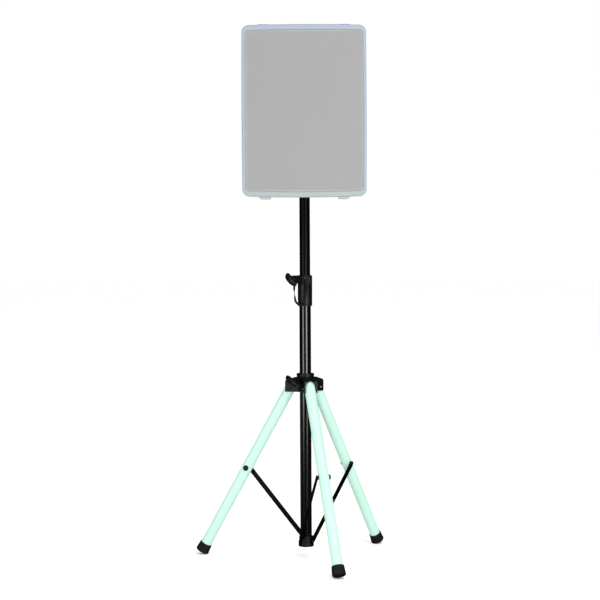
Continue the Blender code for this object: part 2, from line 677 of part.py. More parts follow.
def shell_rings(inset):
    """Rings of the rear shell from front to back; inset is 0 outside and WALL inside."""
    side, end, corner = BACK_INSET_SIDE, BACK_INSET_END, CABINET_CORNER_R - inset
    front = CABINET_SPLIT_Y + GAP
    return [
        ring_at(front, inset, inset, corner),
        ring_at(CABINET_TAPER_Y, side + inset, end + inset, corner),
        ring_at(CABINET_BACK_Y - 0.0080 - inset, side + 0.0080 + inset, end + 0.0060 + inset,
                corner),
        ring_at(CABINET_BACK_Y - inset, side + 0.0180 + inset, end + 0.0150 + inset, corner),
    ]


def make_rear_shell(parent, materials, handle_frames):
    bm = bmesh.new()
    outer = [[bm.verts.new(p) for p in ring] for ring in shell_rings(0.0)]
    inner = [[bm.verts.new(p) for p in ring] for ring in shell_rings(WALL)]
    for rows in (outer, inner):
        for lower, upper in zip(rows, rows[1:]):
            bridge(bm, lower, upper)
        bm.faces.new(rows[-1])
    bridge(bm, outer[0], inner[0])
    shell = make_object("rear_shell", bm, materials["cabinet_plastic"], parent)
    socket = turned(cylinder_profile(POLE_SOCKET_R + GAP, 1.1000, 1.2400))
    cut(shell, make_object("shell_socket_hole", socket, None, parent))
    low, high = terminal_corners(-GAP)
    opening = block((low[0], 0.1000, low[1]), (high[0], 0.2000, high[1]))
    cut(shell, make_object("shell_terminal_hole", opening, None, parent))
    for side, frame in handle_frames.items():
        hole = block((-0.0300, -HANDLE_HALF_LENGTH - GAP, -HANDLE_HALF_HEIGHT - GAP),
                     (0.0300, HANDLE_HALF_LENGTH + GAP, HANDLE_HALF_HEIGHT + GAP))
        cut(shell, make_object("shell_handle_hole_" + side, hole, None, frame))


def make_front_frame(parent, materials):
    """The front moulding: a rim around the grille, and the baffle that holds the drivers."""
    front, back = CABINET_FRONT_Y, CABINET_SPLIT_Y
    recess = back - BAFFLE_THICK
    side, end = GRILLE_RIM_SIDE, GRILLE_RIM_END
    corner = CABINET_CORNER_R - 0.0070
    bm = bmesh.new()
    stations = [
        ring_at(back), ring_at(front + 0.0060), ring_at(front + 0.0018, 0.0014, 0.0014),
        ring_at(front, 0.0050, 0.0050), ring_at(front, side - 0.0010, end - 0.0010, corner),
        ring_at(front + 0.0015, side, end, corner), ring_at(recess, side, end, corner),
    ]
    rows = [[bm.verts.new(p) for p in ring] for ring in stations]
    for lower, upper in zip(rows, rows[1:]):
        bridge(bm, lower, upper)
    bm.faces.new(rows[0])
    bm.faces.new(rows[-1])
    frame = make_object("front_frame", bm, materials["cabinet_plastic"], parent)
    hole = turned(cylinder_profile(WOOFER_HOLE_R, -0.2000, 0), 24, axis="Y")
    cut(frame, make_object("baffle_woofer_hole", hole, None, parent, location=(0, 0, WOOFER_Z)))
    horn = block((-HORN_HALF_WIDTH, -0.2000, HORN_Z - HORN_HALF_HEIGHT),
                 (HORN_HALF_WIDTH, 0.0, HORN_Z + HORN_HALF_HEIGHT))
    cut(frame, make_object("baffle_horn_hole", horn, None, parent))
    for side_name, sign in (("left", -1), ("right", 1)):
        port = turned(cylinder_profile(PORT_R, -0.2000, 0), 16, axis="Y")
        cut(frame, make_object("baffle_port_" + side_name, port, None, parent,
                               location=(sign * PORT_X, 0, PORT_Z)))


def make_grille(parent, materials):
    side, end = GRILLE_RIM_SIDE + GAP, GRILLE_RIM_END + GAP
    corner = CABINET_CORNER_R - 0.0075
    face = CABINET_FRONT_Y + 0.0030
    back = face + GRILLE_THICK
    make_object("grille", loft([ring_at(face, side, end, corner), ring_at(back, side, end, corner)]),
                materials["grille_steel"], parent)
    start = back + GAP
    make_object("grille_foam",
                loft([ring_at(start, side, end, corner),
                      ring_at(start + FOAM_THICK, side, end, corner)]),
                materials["foam"], parent)


def cone_profile(outer, front, rear):
    """Surround, cone and voice coil in one closed outline: rear face first, then front face."""
    thick = 0.0014
    roll = 0.0036
    coil = VOICE_COIL_R
    bottom = front + CONE_DEPTH
    surround = [(outer, front), (outer - 0.0040, front - roll), (outer - 0.0100, front - roll),
                (outer - 0.0140, front)]
    face = [(radius, height - thick) for radius, height in reversed(surround)]
    return surround + [(coil, bottom), (coil, rear), (coil - thick, rear),
                       (coil - thick, bottom - thick / 2)] + face


def make_woofer(parent, materials):
    """Heights in these profiles run towards the back; the cone opens to the front."""
    baffle = CABINET_SPLIT_Y - BAFFLE_THICK
    seat = baffle - GAP
    spot = (0, 0, WOOFER_Z)
    hole = WOOFER_HOLE_R
    basket = [
        (hole - 0.0120, seat - 0.0030), (hole + 0.0130, seat - 0.0030), (hole + 0.0130, seat),
        (hole - 0.0020, seat), (hole - 0.0060, seat + 0.0300), (0.0760, seat + 0.0900),
        (0.0500, seat + 0.0950), (0.0500, seat + 0.0920), (0.0740, seat + 0.0870),
        (hole - 0.0090, seat + 0.0290), (hole - 0.0090, seat),
    ]
    make_object("woofer_basket", turned(basket, 24, axis="Y"), materials["dark_steel"], parent,
                location=spot)
    rear = seat + 0.0950 + GAP
    magnet = [(0, rear), (0.0720, rear), (0.0750, rear + 0.0030), (0.0750, rear + 0.0330),
              (0.0720, rear + 0.0360), (0, rear + 0.0360)]
    make_object("woofer_magnet", turned(magnet, ROUND_INNER, axis="Y"), materials["dark_steel"],
                parent, location=spot)
    front = seat + 0.0024
    outer = hole - 0.0095
    cone = cone_profile(outer, front, rear - GAP)
    make_object("woofer_cone", turned(cone, 24, axis="Y"), materials["cone_paper"], parent,
                location=spot)
    base = front + 0.0435
    dome = [(0.0480 * c, base - 0.0170 * s) for c, s in arc((0, 0), 1.0, 0, 90, 4)][:-1]
    under = [(0.0465 * c, base - 0.0150 * s) for c, s in arc((0, 0), 1.0, 90, 0, 4)][1:]
    cap = dome + [(0, base - 0.0170), (0, base - 0.0150)] + under
    make_object("dust_cap", turned(cap, ROUND_INNER, axis="Y"), materials["cone_paper"], parent,
                location=spot)


def rect_ring(y, half_width, half_height, steps=6):
    """A rectangle with points along its sides, around the horn's axis."""
    ring = []
    corners = [(-1, -1), (1, -1), (1, 1), (-1, 1)]
    for (ax, az), (bx, bz) in zip(corners, corners[1:] + corners[:1]):
        for i in range(steps):
            t = i / steps
            ring.append(((ax + (bx - ax) * t) * half_width, y, (az + (bz - az) * t) * half_height))
    return ring


def round_ring(y, radius, steps=6):
    count = 4 * steps
    start = -3 * pi / 4
    return [(radius * cos(start + 2 * pi * i / count), y, radius * sin(start + 2 * pi * i / count))
            for i in range(count)]


def make_horn(parent, materials):
    baffle = CABINET_SPLIT_Y - BAFFLE_THICK
    seat = baffle - GAP
    width, height = HORN_HALF_WIDTH, HORN_HALF_HEIGHT
    rings = [
        rect_ring(seat - 0.0030, width + 0.0120, height + 0.0100),
        rect_ring(seat, width + 0.0120, height + 0.0100),
        rect_ring(seat, width - 0.0020, height - 0.0020),
        rect_ring(seat + 0.0300, width * 0.72, height * 0.62),
        round_ring(seat + 0.0900, 0.0210),
        round_ring(seat + 0.0900, 0.0130),
        rect_ring(seat + 0.0300, width * 0.72 - 0.0030, height * 0.62 - 0.0030),
        rect_ring(seat - 0.0030, width - 0.0060, height - 0.0060),
    ]
    make_object("horn_flare", loft(rings, capped=False), materials["black_plastic"], parent,
                location=(0, 0, HORN_Z))
    rear = seat + 0.0900 + GAP
    driver = [(0, rear), (0.0300, rear), (0.0430, rear + 0.0100), (0.0430, rear + 0.0400),
              (0.0360, rear + 0.0480), (0, rear + 0.0480)]
    make_object("compression_driver", turned(driver, ROUND_INNER, axis="Y"),
                materials["dark_steel"], parent, location=(0, 0, HORN_Z))


def terminal_corners(inset):
    half_width, half_height = TERMINAL_HALF_WIDTH - inset, TERMINAL_HALF_HEIGHT - inset
    return ((-half_width, TERMINAL_Z - half_height), (half_width, TERMINAL_Z + half_height))


def make_terminals(parent, materials):
    """A dished plate in the back wall, with two sockets in it."""
    low, high = terminal_corners(0.0)
    plate = make_object("terminal_plate",
                        block((low[0], 0.1200, low[1]), (high[0], CABINET_BACK_Y, high[1])),
                        materials["black_plastic"], parent)
    low, high = terminal_corners(0.0040)
    dish = block((low[0], 0.1230, low[1]), (high[0], 0.2000, high[1]))
    cut(plate, make_object("terminal_dish", dish, None, parent))
    for name, x in (("speaker_socket_1", -SOCKET_X), ("speaker_socket_2", SOCKET_X)):
        hole = turned(cylinder_profile(0.0115, 0.1000, 0.1300), 16, axis="Y")
        cut(plate, make_object(name + "_hole", hole, None, parent, location=(x, 0, TERMINAL_Z)))
        profile = [(0, 0.1000), (0.0112, 0.1000), (0.0112, 0.1235), (0.0150, 0.1235),
                   (0.0150, 0.1255), (0.0100, 0.1255), (0.0100, 0.1060), (0, 0.1060)]
        make_object(name, turned(profile, 16, axis="Y"), materials["black_plastic"], parent,
                    location=(x, 0, TERMINAL_Z))


def make_pole_socket(parent, materials):
    """The cup under the cabinet that the pole stands in."""
    top = INNER_TOP_Z + 0.0006
    bore = INNER_R + 0.0004
    low = underside_z(0, 0) + 0.0005
    profile = [(bore, low), (POLE_SOCKET_R, low), (POLE_SOCKET_R, low + 0.0120),
               (0.0215, low + 0.0150), (0.0215, top + 0.0040), (0, top + 0.0040),
               (0, top), (bore, top)]
    make_object("pole_socket", turned(profile), materials["black_plastic"], parent)


def make_handle_frames(parent):
    """An empty on each side wall, with local X pointing out of the cabinet."""
    run = CABINET_TAPER_Y - CABINET_SPLIT_Y
    half = CABINET_HALF_WIDTH - BACK_INSET_SIDE * (HANDLE_Y - CABINET_SPLIT_Y) / run
    lean = Vector((run, BACK_INSET_SIDE)).angle(Vector((1, 0)))
    spots = {"left": (-half, pi - lean), "right": (half, lean)}
    return {side: make_empty("handle_frame_" + side, (x, HANDLE_Y, HANDLE_Z), (0, 0, turn), parent)
            for side, (x, turn) in spots.items()}


def make_handles(handle_frames, materials):
    """A cup in each side wall, with a grip across the top of its mouth."""
    length, height, wall = HANDLE_HALF_LENGTH, HANDLE_HALF_HEIGHT, HANDLE_WALL
    mouth = -0.0010
    for side, frame in handle_frames.items():
        cup = make_object("handle_cup_" + side,
                          block((-HANDLE_DEPTH, -length, -height), (mouth, length, height)),
                          materials["black_plastic"], frame)
        well = block((-HANDLE_DEPTH + wall, -length + wall, -height + wall),
                     (0.0200, length - wall, height - wall))
        cut(cup, make_object("handle_well_" + side, well, None, frame))
        grip = block((mouth - HANDLE_GRIP_DEPTH, -length + wall / 2, height - HANDLE_GRIP_HEIGHT),
                     (mouth - 0.0004, length - wall / 2, height - wall / 2))
        join(cup, make_object("handle_grip_" + side, grip, None, frame))


def make_crossover(parent, materials):
    board = block((-0.0550, 0.1080, 1.3900), (0.0550, 0.1096, 1.4700))
    make_object("crossover_board", board, materials["circuit_board"], parent)


def underside_z(x, y):
    slope = BACK_INSET_END / (CABINET_TAPER_Y - CABINET_SPLIT_Y)
    return bottom_z(x) + max(0.0, y - CABINET_SPLIT_Y) * slope


def topside_z(x, y):
    slope = BACK_INSET_END / (CABINET_TAPER_Y - CABINET_SPLIT_Y)
    return top_z(x) - max(0.0, y - CABINET_SPLIT_Y) * slope


def wedge(name, x, low_y, high_y, wall_z, flat_z, parent, material):
    """A block with one flat face and one that follows a sloping wall of the cabinet."""
    half = CABINET_FOOT_HALF
    corners = [(x - half, low_y), (x + half, low_y), (x + half, high_y), (x - half, high_y)]
    flat = [(px, py, flat_z) for px, py in corners]
    sloped = [(px, py, wall_z(px, py)) for px, py in corners]
    make_object(name, loft([flat, sloped]), material, parent)


def make_cabinet_feet(parent, materials):
    """Four feet under the cabinet, and two rails on top that another one's feet stand on."""
    clear = 0.0004
    for side, sign in (("left", -1), ("right", 1)):
        x = sign * CABINET_FOOT_X
        for row, y in (("front", -0.1080), ("rear", 0.0850)):
            wedge(f"cabinet_foot_{row}_{side}", x, y - 0.0160, y + 0.0160,
                  lambda px, py: underside_z(px, py) - clear, FOOT_BOTTOM_Z, parent,
                  materials["grey_rubber"])
        wedge(f"stacking_rail_{side}", x, -0.1240, 0.1010,
              lambda px, py: topside_z(px, py) + clear, RAIL_TOP_Z, parent,
              materials["cabinet_plastic"])


def make_cabinet(parent, materials):
    handle_frames = make_handle_frames(parent)
    make_rear_shell(parent, materials, handle_frames)
    make_front_frame(parent, materials)
    make_grille(parent, materials)
    make_woofer(parent, materials)
    make_horn(parent, materials)
    make_terminals(parent, materials)
    make_pole_socket(parent, materials)
    make_handles(handle_frames, materials)
    make_crossover(parent, materials)
    make_cabinet_feet(parent, materials)


# ---------------------------------------------------------------- assembly

def centre_on_floor(root):
    """Move the root so that the model's box stands on the origin, centred."""
    bpy.context.view_layer.update()
    graph = bpy.context.evaluated_depsgraph_get()
    corners = []
    for obj in bpy.data.objects:
        if obj.type == "MESH" and not obj.hide_render:
            mesh = obj.evaluated_get(graph).to_mesh()
            corners += [obj.matrix_world @ vert.co for vert in mesh.vertices]
    low = [min(point[i] for point in corners) for i in range(3)]
    high = [max(point[i] for point in corners) for i in range(3)]
    root.location = (-(low[0] + high[0]) / 2, -(low[1] + high[1]) / 2, -low[2])
    bpy.context.view_layer.update()


def main():
    clear_scene()
    materials = make_materials()
    mast = make_empty("mast_axis", (0, 0, 0))
    make_outer_tube(mast, materials)
    make_clamp_collar(mast, materials)
    make_safety_pin(mast, materials)
    make_strap(mast, materials)
    make_lower_hub(mast, materials)
    make_inner_mast(mast, materials)
    make_leg_hub(mast, materials)
    make_pivot_bolts(mast, materials)
    make_power_inlet(mast, materials)
    make_knob("clamp_knob", mast, materials, CLAMP_BOSS_END, CLAMP_KNOB_Z, radians(42))
    make_knob("hub_knob", mast, materials, HUB_BOSS_END + 0.0060, HUB_KNOB_Z, radians(42))
    for side, azimuth in LEG_AZIMUTH.items():
        make_leg(side, azimuth, mast, materials)
        make_brace(side, azimuth, mast, materials)
    make_cabinet(mast, materials)
    centre_on_floor(mast)


main()
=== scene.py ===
"""Looks for a loudspeaker on a tripod stand with lit legs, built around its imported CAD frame.

Every length is in metres. Heights and positions are in the row frame, where the stand's feet
are at z 0. The mast's axis and the sizes that the frame can give are read from its boxes.
"""
from math import atan2, cos, hypot, pi, radians, sin, tan

import bmesh
import bpy
from mathutils import Matrix, Vector
from mathutils.geometry import tessellate_polygon


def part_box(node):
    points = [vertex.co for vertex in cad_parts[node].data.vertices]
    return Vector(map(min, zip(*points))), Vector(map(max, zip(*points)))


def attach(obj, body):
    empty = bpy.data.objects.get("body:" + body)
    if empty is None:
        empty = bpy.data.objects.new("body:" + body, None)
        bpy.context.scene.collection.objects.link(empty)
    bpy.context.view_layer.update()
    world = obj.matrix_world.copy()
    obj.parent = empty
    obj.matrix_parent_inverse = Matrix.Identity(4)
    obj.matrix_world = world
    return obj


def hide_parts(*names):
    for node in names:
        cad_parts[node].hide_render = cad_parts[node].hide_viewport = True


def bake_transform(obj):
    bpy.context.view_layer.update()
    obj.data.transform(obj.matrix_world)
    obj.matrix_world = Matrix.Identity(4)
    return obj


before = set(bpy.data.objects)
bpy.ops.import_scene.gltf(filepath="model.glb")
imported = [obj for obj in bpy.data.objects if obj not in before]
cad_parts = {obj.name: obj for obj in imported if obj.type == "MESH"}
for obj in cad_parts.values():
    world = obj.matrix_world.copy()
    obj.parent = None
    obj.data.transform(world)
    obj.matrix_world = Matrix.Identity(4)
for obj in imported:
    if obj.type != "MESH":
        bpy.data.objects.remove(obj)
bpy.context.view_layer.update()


# ---- driving dimensions

def middle(node):
    low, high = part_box(node)
    return (low + high) / 2


def span(node, axis):
    """A CAD node's lowest and highest value along x, y or z."""
    low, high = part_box(node)
    return getattr(low, axis), getattr(high, axis)


GAP = 0.0003
SIDES = 64  # sides of a large turned piece
SIDES_SMALL = 32  # sides of a bolt or a stud

MAST_X, MAST_Y = middle("outer_tube").x, middle("outer_tube").y
MAST = Matrix.Translation((MAST_X, MAST_Y, 0.0))
KNOB_AZIMUTH = -43.5  # azimuths go from the front, -Y, towards +X
INLET_AZIMUTH = 196.5
OUTER_R = 0.019
OUTER_BORE_R = 0.0178
INNER_R = 0.0174
INNER_BORE_R = 0.0159

LEG_AZIMUTH = {"front": 16.5, "right": 136.5, "left": -103.5}
LEG_TILT = radians(29.1)
LEG_LENGTH = 0.6375  # hinge to the middle of the sole
LEG_PIVOT_R = 0.0506
LEG_PIVOT_Z = middle("leg_pivot_bolt_front").z
LEG_TUBE_R = 0.0175
LEG_TUBE_BORE_R = 0.016
LEG_DOME_START = 0.0045
LEG_DOME_HEIGHT = 0.02
BRACE_ON_LEG = 0.3097  # hinge to brace bolt, along the leg
BRACE_PIVOT_R = 0.006
BRACE_PIVOT_Z = middle("brace_pivot_bolt_front").z
BRACE_X = 0.0228  # sideways from the leg's middle plane to the brace's
BRACE_THICK = 0.003
BRACE_WIDTH = 0.0155
BRACE_HOLE_R = 0.0033
PIVOT_PIN_R = 0.0025
PIVOT_HEAD_R = 0.0036

FOOT_SOLE_R = 0.023
FOOT_RIM_R = 0.0203
FOOT_LENGTH = 0.0325
FOOT_SOLE_THICK = 0.01
FOOT_EDGE_R = 0.005

HUB_BOTTOM_Z = LEG_PIVOT_Z - 0.0134
HUB_ARM_TOP_Z = LEG_PIVOT_Z + 0.0354
HUB_TOP_Z = LEG_PIVOT_Z + 0.047
HUB_CORE_R = 0.029
HUB_ARM_END = 0.064
HUB_ARM_HALF = 0.022
HUB_SLOT_HALF = 0.0182
HUB_KNOB_Z = LEG_PIVOT_Z + 0.026
HUB_BOSS_END = 0.05

COLLAR_R = 0.024
CLAMP_KNOB_Z = 0.9245
CLAMP_BOSS_END = 0.054
# Each knob's piece, node and body, boss end, height, half length, turn in degrees and fullness
KNOBS = (
    ("clamp_wing_knob", "clamp_knob", CLAMP_BOSS_END, CLAMP_KNOB_Z, 0.029, 42.0, 0.003),
    ("hub_wing_knob", "hub_knob", HUB_BOSS_END + 0.006, HUB_KNOB_Z, 0.0268, 33.0, 0.0),
)
PIN_Z = middle("safety_pin").z
PIN_HOLE_R = 0.003
STUD_HOLE_R = 0.0044

LOWER_HUB_R = 0.0255
LOWER_HUB_FLAT_X = BRACE_X - BRACE_THICK / 2 - GAP

CABINET_HALF_WIDTH = 0.1985
CABINET_BOTTOM_Z = 1.191  # at the middle; the corners are higher by the bow
CABINET_TOP_Z = 1.7425
CABINET_BOTTOM_BOW = 0.0032
CABINET_TOP_BOW = 0.0025
CABINET_SIDE_BOW = 0.0012
CABINET_CORNER_R = 0.023
CABINET_FRONT_Y = -0.17
CABINET_SPLIT_Y = -0.138
CABINET_TAPER_Y = 0.12
CABINET_BACK_Y = 0.15
BACK_INSET_SIDE = 0.038
BACK_INSET_END = 0.008
WALL = 0.005
GRILLE_RIM_SIDE = 0.01
GRILLE_RIM_END = 0.017
GRILLE_PITCH = 0.0064  # between the centres of neighbouring holes
GRILLE_HOLE = 0.0029  # centre to corner of a six-sided hole
BAFFLE_THICK = 0.012
FOOT_BOTTOM_Z = 1.1885
RAIL_TOP_Z = 1.748
CABINET_FOOT_X = 0.1295
WOOFER_Z = 1.362
WOOFER_HOLE_R = 0.14
PORT_R = 0.026
POLE_CUP_R = 0.03
PORT_X = 0.148
PORT_Z = 1.24
HORN_Z = 1.63
HORN_HALF_WIDTH = 0.135
HORN_HALF_HEIGHT = 0.062
TERMINAL_Z = 1.31
TERMINAL_HALF_WIDTH = 0.06
TERMINAL_HALF_HEIGHT = 0.04
SOCKET_X = 0.026
HANDLE_Z = 1.49
HANDLE_HALF_LENGTH = 0.06
HANDLE_HALF_HEIGHT = 0.04
HANDLE_DEPTH = 0.04

# The strap's route from the pin's head to the clip under the clamp boss, from the mast's axis
STRAP_ROUTE = [
    (0.0, -0.0345, 0.9226), (0.0022, -0.0345, 0.913), (0.0048, -0.0335, 0.902),
    (0.004, -0.0315, 0.888), (0.001, -0.03, 0.873), (-0.003, -0.029, 0.856),
    (-0.009, -0.028, 0.8435), (-0.0165, -0.028, 0.84), (-0.024, -0.0285, 0.8438),
    (-0.031, -0.0295, 0.853), (-0.0336, -0.0315, 0.868), (-0.035, -0.0335, 0.882),
    (-0.0354, -0.035, 0.894), (-0.0346, -0.0362, 0.9062),
]
STRAP_WIDTH = 0.007
STRAP_THICK = 0.0011
STRAP_FLAT_FROM = 0.55  # share of its length from which it turns square to the front
STRAP_FLAT_OVER = 0.15
STRAP_TWIST = 1.45  # how far it turns on itself on its way up, and where
STRAP_TWIST_FROM = 0.72
STRAP_TWIST_OVER = 0.22

CAMERA_DISTANCE = 5.666  # in front of the mast's axis
CAMERA_HEIGHT = 1.0956
CAMERA_LENS = 103.15
CAMERA_SHIFT_X = -0.0115
CAMERA_SHIFT_Y = -0.03
CAMERA_PITCH = radians(1.827)  # downwards
CAMERA_ROLL = radians(0.278)
CAMERA_YAW = radians(-0.074)

ROOM_REFLECTION = 0.02
FLOOR_WHITE = 0.995
KEY_FROM = (1.1, -3.1, 2.7)  # from the point it lights
KEY_AIM_Z = 0.9
KEY_SIZE = 1.4
KEY_POWER = 100.0
# Each lamp's name, azimuth, width and power
LAMPS = (("lamp_left", -41.0, 1.3, 23.0), ("lamp_right", 28.0, 1.3, 35.0))
LAMP_Z = 0.5
LAMP_DISTANCE = 3.0
LAMP_HEIGHT = 0.75


# ---- camera, floor and light

def make_camera():
    data = bpy.data.cameras.new("camera")
    data.lens = CAMERA_LENS
    data.shift_x = CAMERA_SHIFT_X
    data.shift_y = CAMERA_SHIFT_Y
    camera = bpy.data.objects.new("camera", data)
    camera.location = (MAST_X, MAST_Y - CAMERA_DISTANCE, CAMERA_HEIGHT)
    camera.rotation_euler = (radians(90) - CAMERA_PITCH, CAMERA_ROLL, CAMERA_YAW)
    bpy.context.scene.collection.objects.link(camera)
    bpy.context.scene.camera = camera


def make_area_light(name, place, target, width, height, power):
    data = bpy.data.lights.new(name, "AREA")
    data.shape = "RECTANGLE"
    data.size, data.size_y, data.energy = width, height, power
    light = bpy.data.objects.new(name, data)
    light.location = place
    light.rotation_euler = (Vector(target) - Vector(place)).to_track_quat("-Z", "Y").to_euler()
    bpy.context.scene.collection.objects.link(light)


def dim_for_gloss(tree, shaders, surface):
    """The first shader for all rays but glossy ones, which meet the second."""
    choice = tree.nodes.new("ShaderNodeMixShader")
    rays = tree.nodes.new("ShaderNodeLightPath")
    tree.links.new(rays.outputs["Is Glossy Ray"], choice.inputs["Fac"])
    for shader, socket in zip(shaders, (choice.inputs[1], choice.inputs[2])):
        tree.links.new(shader.outputs[0], socket)
    tree.links.new(choice.outputs["Shader"], surface)


def make_world():
    """A white room that polished pieces reflect as a darker one, so that black stays black."""
    world = bpy.data.worlds.new("studio")
    world.use_nodes = True
    tree = world.node_tree
    room = tree.nodes["Background"]
    reflected = tree.nodes.new("ShaderNodeBackground")
    for node, strength in ((room, 1.0), (reflected, ROOM_REFLECTION)):
        node.inputs["Color"].default_value = (1.0, 1.0, 1.0, 1.0)
        node.inputs["Strength"].default_value = strength
    dim_for_gloss(tree, (room, reflected), tree.nodes["World Output"].inputs["Surface"])
    bpy.context.scene.world = world
    bpy.context.scene.view_settings.view_transform = "Standard"


def make_lights():
    """A high key above the camera, and two low lamps whose reflections run down the pole."""
    chest = Vector((MAST_X, MAST_Y, KEY_AIM_Z))
    make_area_light("key", chest + Vector(KEY_FROM), chest, KEY_SIZE, KEY_SIZE, KEY_POWER)
    for name, azimuth, width, power in LAMPS:
        low = Vector((MAST_X, MAST_Y, LAMP_Z))
        turn = radians(azimuth)
        place = low + LAMP_DISTANCE * Vector((sin(turn), -cos(turn), 0.0))
        make_area_light(name, place, low, width, LAMP_HEIGHT, power)


def make_floor():
    """A plain white floor, reflected darker in the same way as the room."""
    bpy.ops.mesh.primitive_plane_add(size=60.0, location=(0, 0, 0))
    floor = bpy.context.object
    floor.name = "studio_floor"
    material = bpy.data.materials.new("floor_white")
    material.use_nodes = True
    tree = material.node_tree
    tree.nodes.remove(tree.nodes["Principled BSDF"])
    shaders = []
    for grey in (FLOOR_WHITE, ROOM_REFLECTION):
        shaders.append(tree.nodes.new("ShaderNodeBsdfDiffuse"))
        shaders[-1].inputs["Color"].default_value = (grey, grey, grey, 1.0)
    dim_for_gloss(tree, shaders, tree.nodes["Material Output"].inputs["Surface"])
    floor.data.materials.append(material)


# ---- materials

def grey(value):
    return value, value, value


class Nodes:
    """Short ways to add and wire a material's nodes; _ in an input's name stands for a space."""

    def __init__(self, name):
        self.material = bpy.data.materials.new(name)
        self.material.use_nodes = True
        self.tree = self.material.node_tree
        self.shader = self.tree.nodes["Principled BSDF"]
        self.coordinates = self.tree.nodes.new("ShaderNodeTexCoord").outputs["Object"]

    def wire(self, source, target):
        self.tree.links.new(source, target)

    def add(self, kind, **values):
        node = self.tree.nodes.new("ShaderNode" + kind)
        self.fill(node, values)
        return node

    def fill(self, node, values):
        for name, value in values.items():
            node.inputs[name.replace("_", " ")].default_value = value

    def feed(self, sockets, values):
        """Wire each value to its socket, or set it there where it is plain."""
        for socket, value in zip(sockets, values):
            if isinstance(value, tuple):
                socket.default_value = (*value, 1.0)
            elif isinstance(value, float):
                socket.default_value = value
            else:
                self.wire(value, socket)

    def set(self, **values):
        """Plain values on the shader's own sockets."""
        self.fill(self.shader, values)

    def noise(self, scale, detail=3.0, roughness=0.55, stretch=(1, 1, 1)):
        mapping = self.add("Mapping", Scale=stretch)
        self.wire(self.coordinates, mapping.inputs["Vector"])
        noise = self.add("TexNoise", Scale=scale, Detail=detail, Roughness=roughness)
        self.wire(mapping.outputs["Vector"], noise.inputs["Vector"])
        return noise.outputs["Fac"]

    def cells(self, scale, feature="F1"):
        voronoi = self.add("TexVoronoi", Scale=scale)
        voronoi.feature = feature
        self.wire(self.coordinates, voronoi.inputs["Vector"])
        return voronoi.outputs["Distance"]

    def range(self, source, low, high, start=0.3, end=0.7):
        node = self.add("MapRange", From_Min=start, From_Max=end, To_Min=low, To_Max=high)
        self.wire(source, node.inputs["Value"])
        return node.outputs["Result"]

    def mix(self, factor, first, second):
        """A colour between two, which are sockets or three numbers."""
        node = self.add("Mix")
        node.data_type = "RGBA"
        self.wire(factor, node.inputs["Factor"])
        self.feed((node.inputs[6], node.inputs[7]), (first, second))
        return node.outputs[2]

    def math(self, operation, first, second):
        node = self.add("Math")
        node.operation = operation
        self.feed(node.inputs, (first, second))
        return node.outputs["Value"]

    def edges(self, start=0.62, end=0.75):
        """From 0 on flat faces to 1 on worn outer edges."""
        return self.range(self.add("NewGeometry").outputs["Pointiness"], 0.0, 1.0, start, end)

    def color(self, source):
        self.wire(source, self.shader.inputs["Base Color"])

    def rough(self, source):
        self.wire(source, self.shader.inputs["Roughness"])

    def bump(self, source, distance, strength=1.0):
        """Adds relief to the shader; a second call lies on top of the first."""
        node = self.add("Bump", Distance=distance, Strength=strength)
        self.wire(source, node.inputs["Height"])
        before = self.shader.inputs["Normal"]
        if before.is_linked:
            self.wire(before.links[0].from_socket, node.inputs["Normal"])
        self.wire(node.outputs["Normal"], before)


def satin_paint(name, color, worn, low, high, specular=0.4):
    """Powder paint on steel: orange peel, faint scratches along the tube, dust."""
    n = Nodes(name)
    dust = n.range(n.noise(38.0, 5.0), 0.0, 0.5, 0.45, 0.75)
    n.color(n.mix(n.edges(), n.mix(dust, color, tuple(1.5 * c for c in color)), worn))
    scratches = n.noise(420.0, 2.0, stretch=(1, 1, 0.03))
    n.rough(n.range(n.math("ADD", n.noise(60.0), n.math("MULTIPLY", scratches, 0.3)),
                    low, high, 0.45, 0.85))
    n.bump(n.noise(1400.0, 2.0), 0.000004, 0.3)
    n.bump(scratches, 0.000003, 0.2)
    n.set(Specular_IOR_Level=specular)
    return n.material


def grained_plastic(name, color, light, low, high, grain=1100.0, depth=0.0001, specular=0.4):
    """Injection-moulded plastic with an even spark-eroded grain."""
    n = Nodes(name)
    cloudy = n.range(n.noise(22.0, 4.0), 0.0, 1.0)
    n.color(n.mix(n.edges(), n.mix(cloudy, color, light), tuple(min(1.0, 1.8 * c) for c in light)))
    n.rough(n.range(n.noise(90.0, 3.0), low, high))
    n.bump(n.cells(grain), depth, 0.6)
    n.bump(n.noise(grain * 2.2, 2.0), depth * 0.5, 0.5)
    n.set(Specular_IOR_Level=specular)
    return n.material


def rubber(name, color, light):
    n = Nodes(name)
    dusty = n.range(n.noise(55.0, 6.0, 0.65), 0.0, 1.0, 0.42, 0.72)
    n.color(n.mix(n.edges(), n.mix(dusty, color, light), tuple(1.5 * c for c in light)))
    n.rough(n.range(n.noise(130.0, 3.0), 0.72, 0.92))
    n.bump(n.noise(900.0, 4.0), 0.00014, 0.6)
    n.set(Specular_IOR_Level=0.3)
    return n.material


def brushed_metal(name, color, light, low, high, stretch=(1, 1, 0.06)):
    n = Nodes(name)
    lines = n.noise(700.0, 3.0, stretch=stretch)
    n.color(n.mix(n.range(n.noise(70.0, 4.0), 0.0, 1.0), color, light))
    n.rough(n.range(lines, low, high))
    n.bump(lines, 0.00003, 0.5)
    n.set(Metallic=1.0)
    return n.material


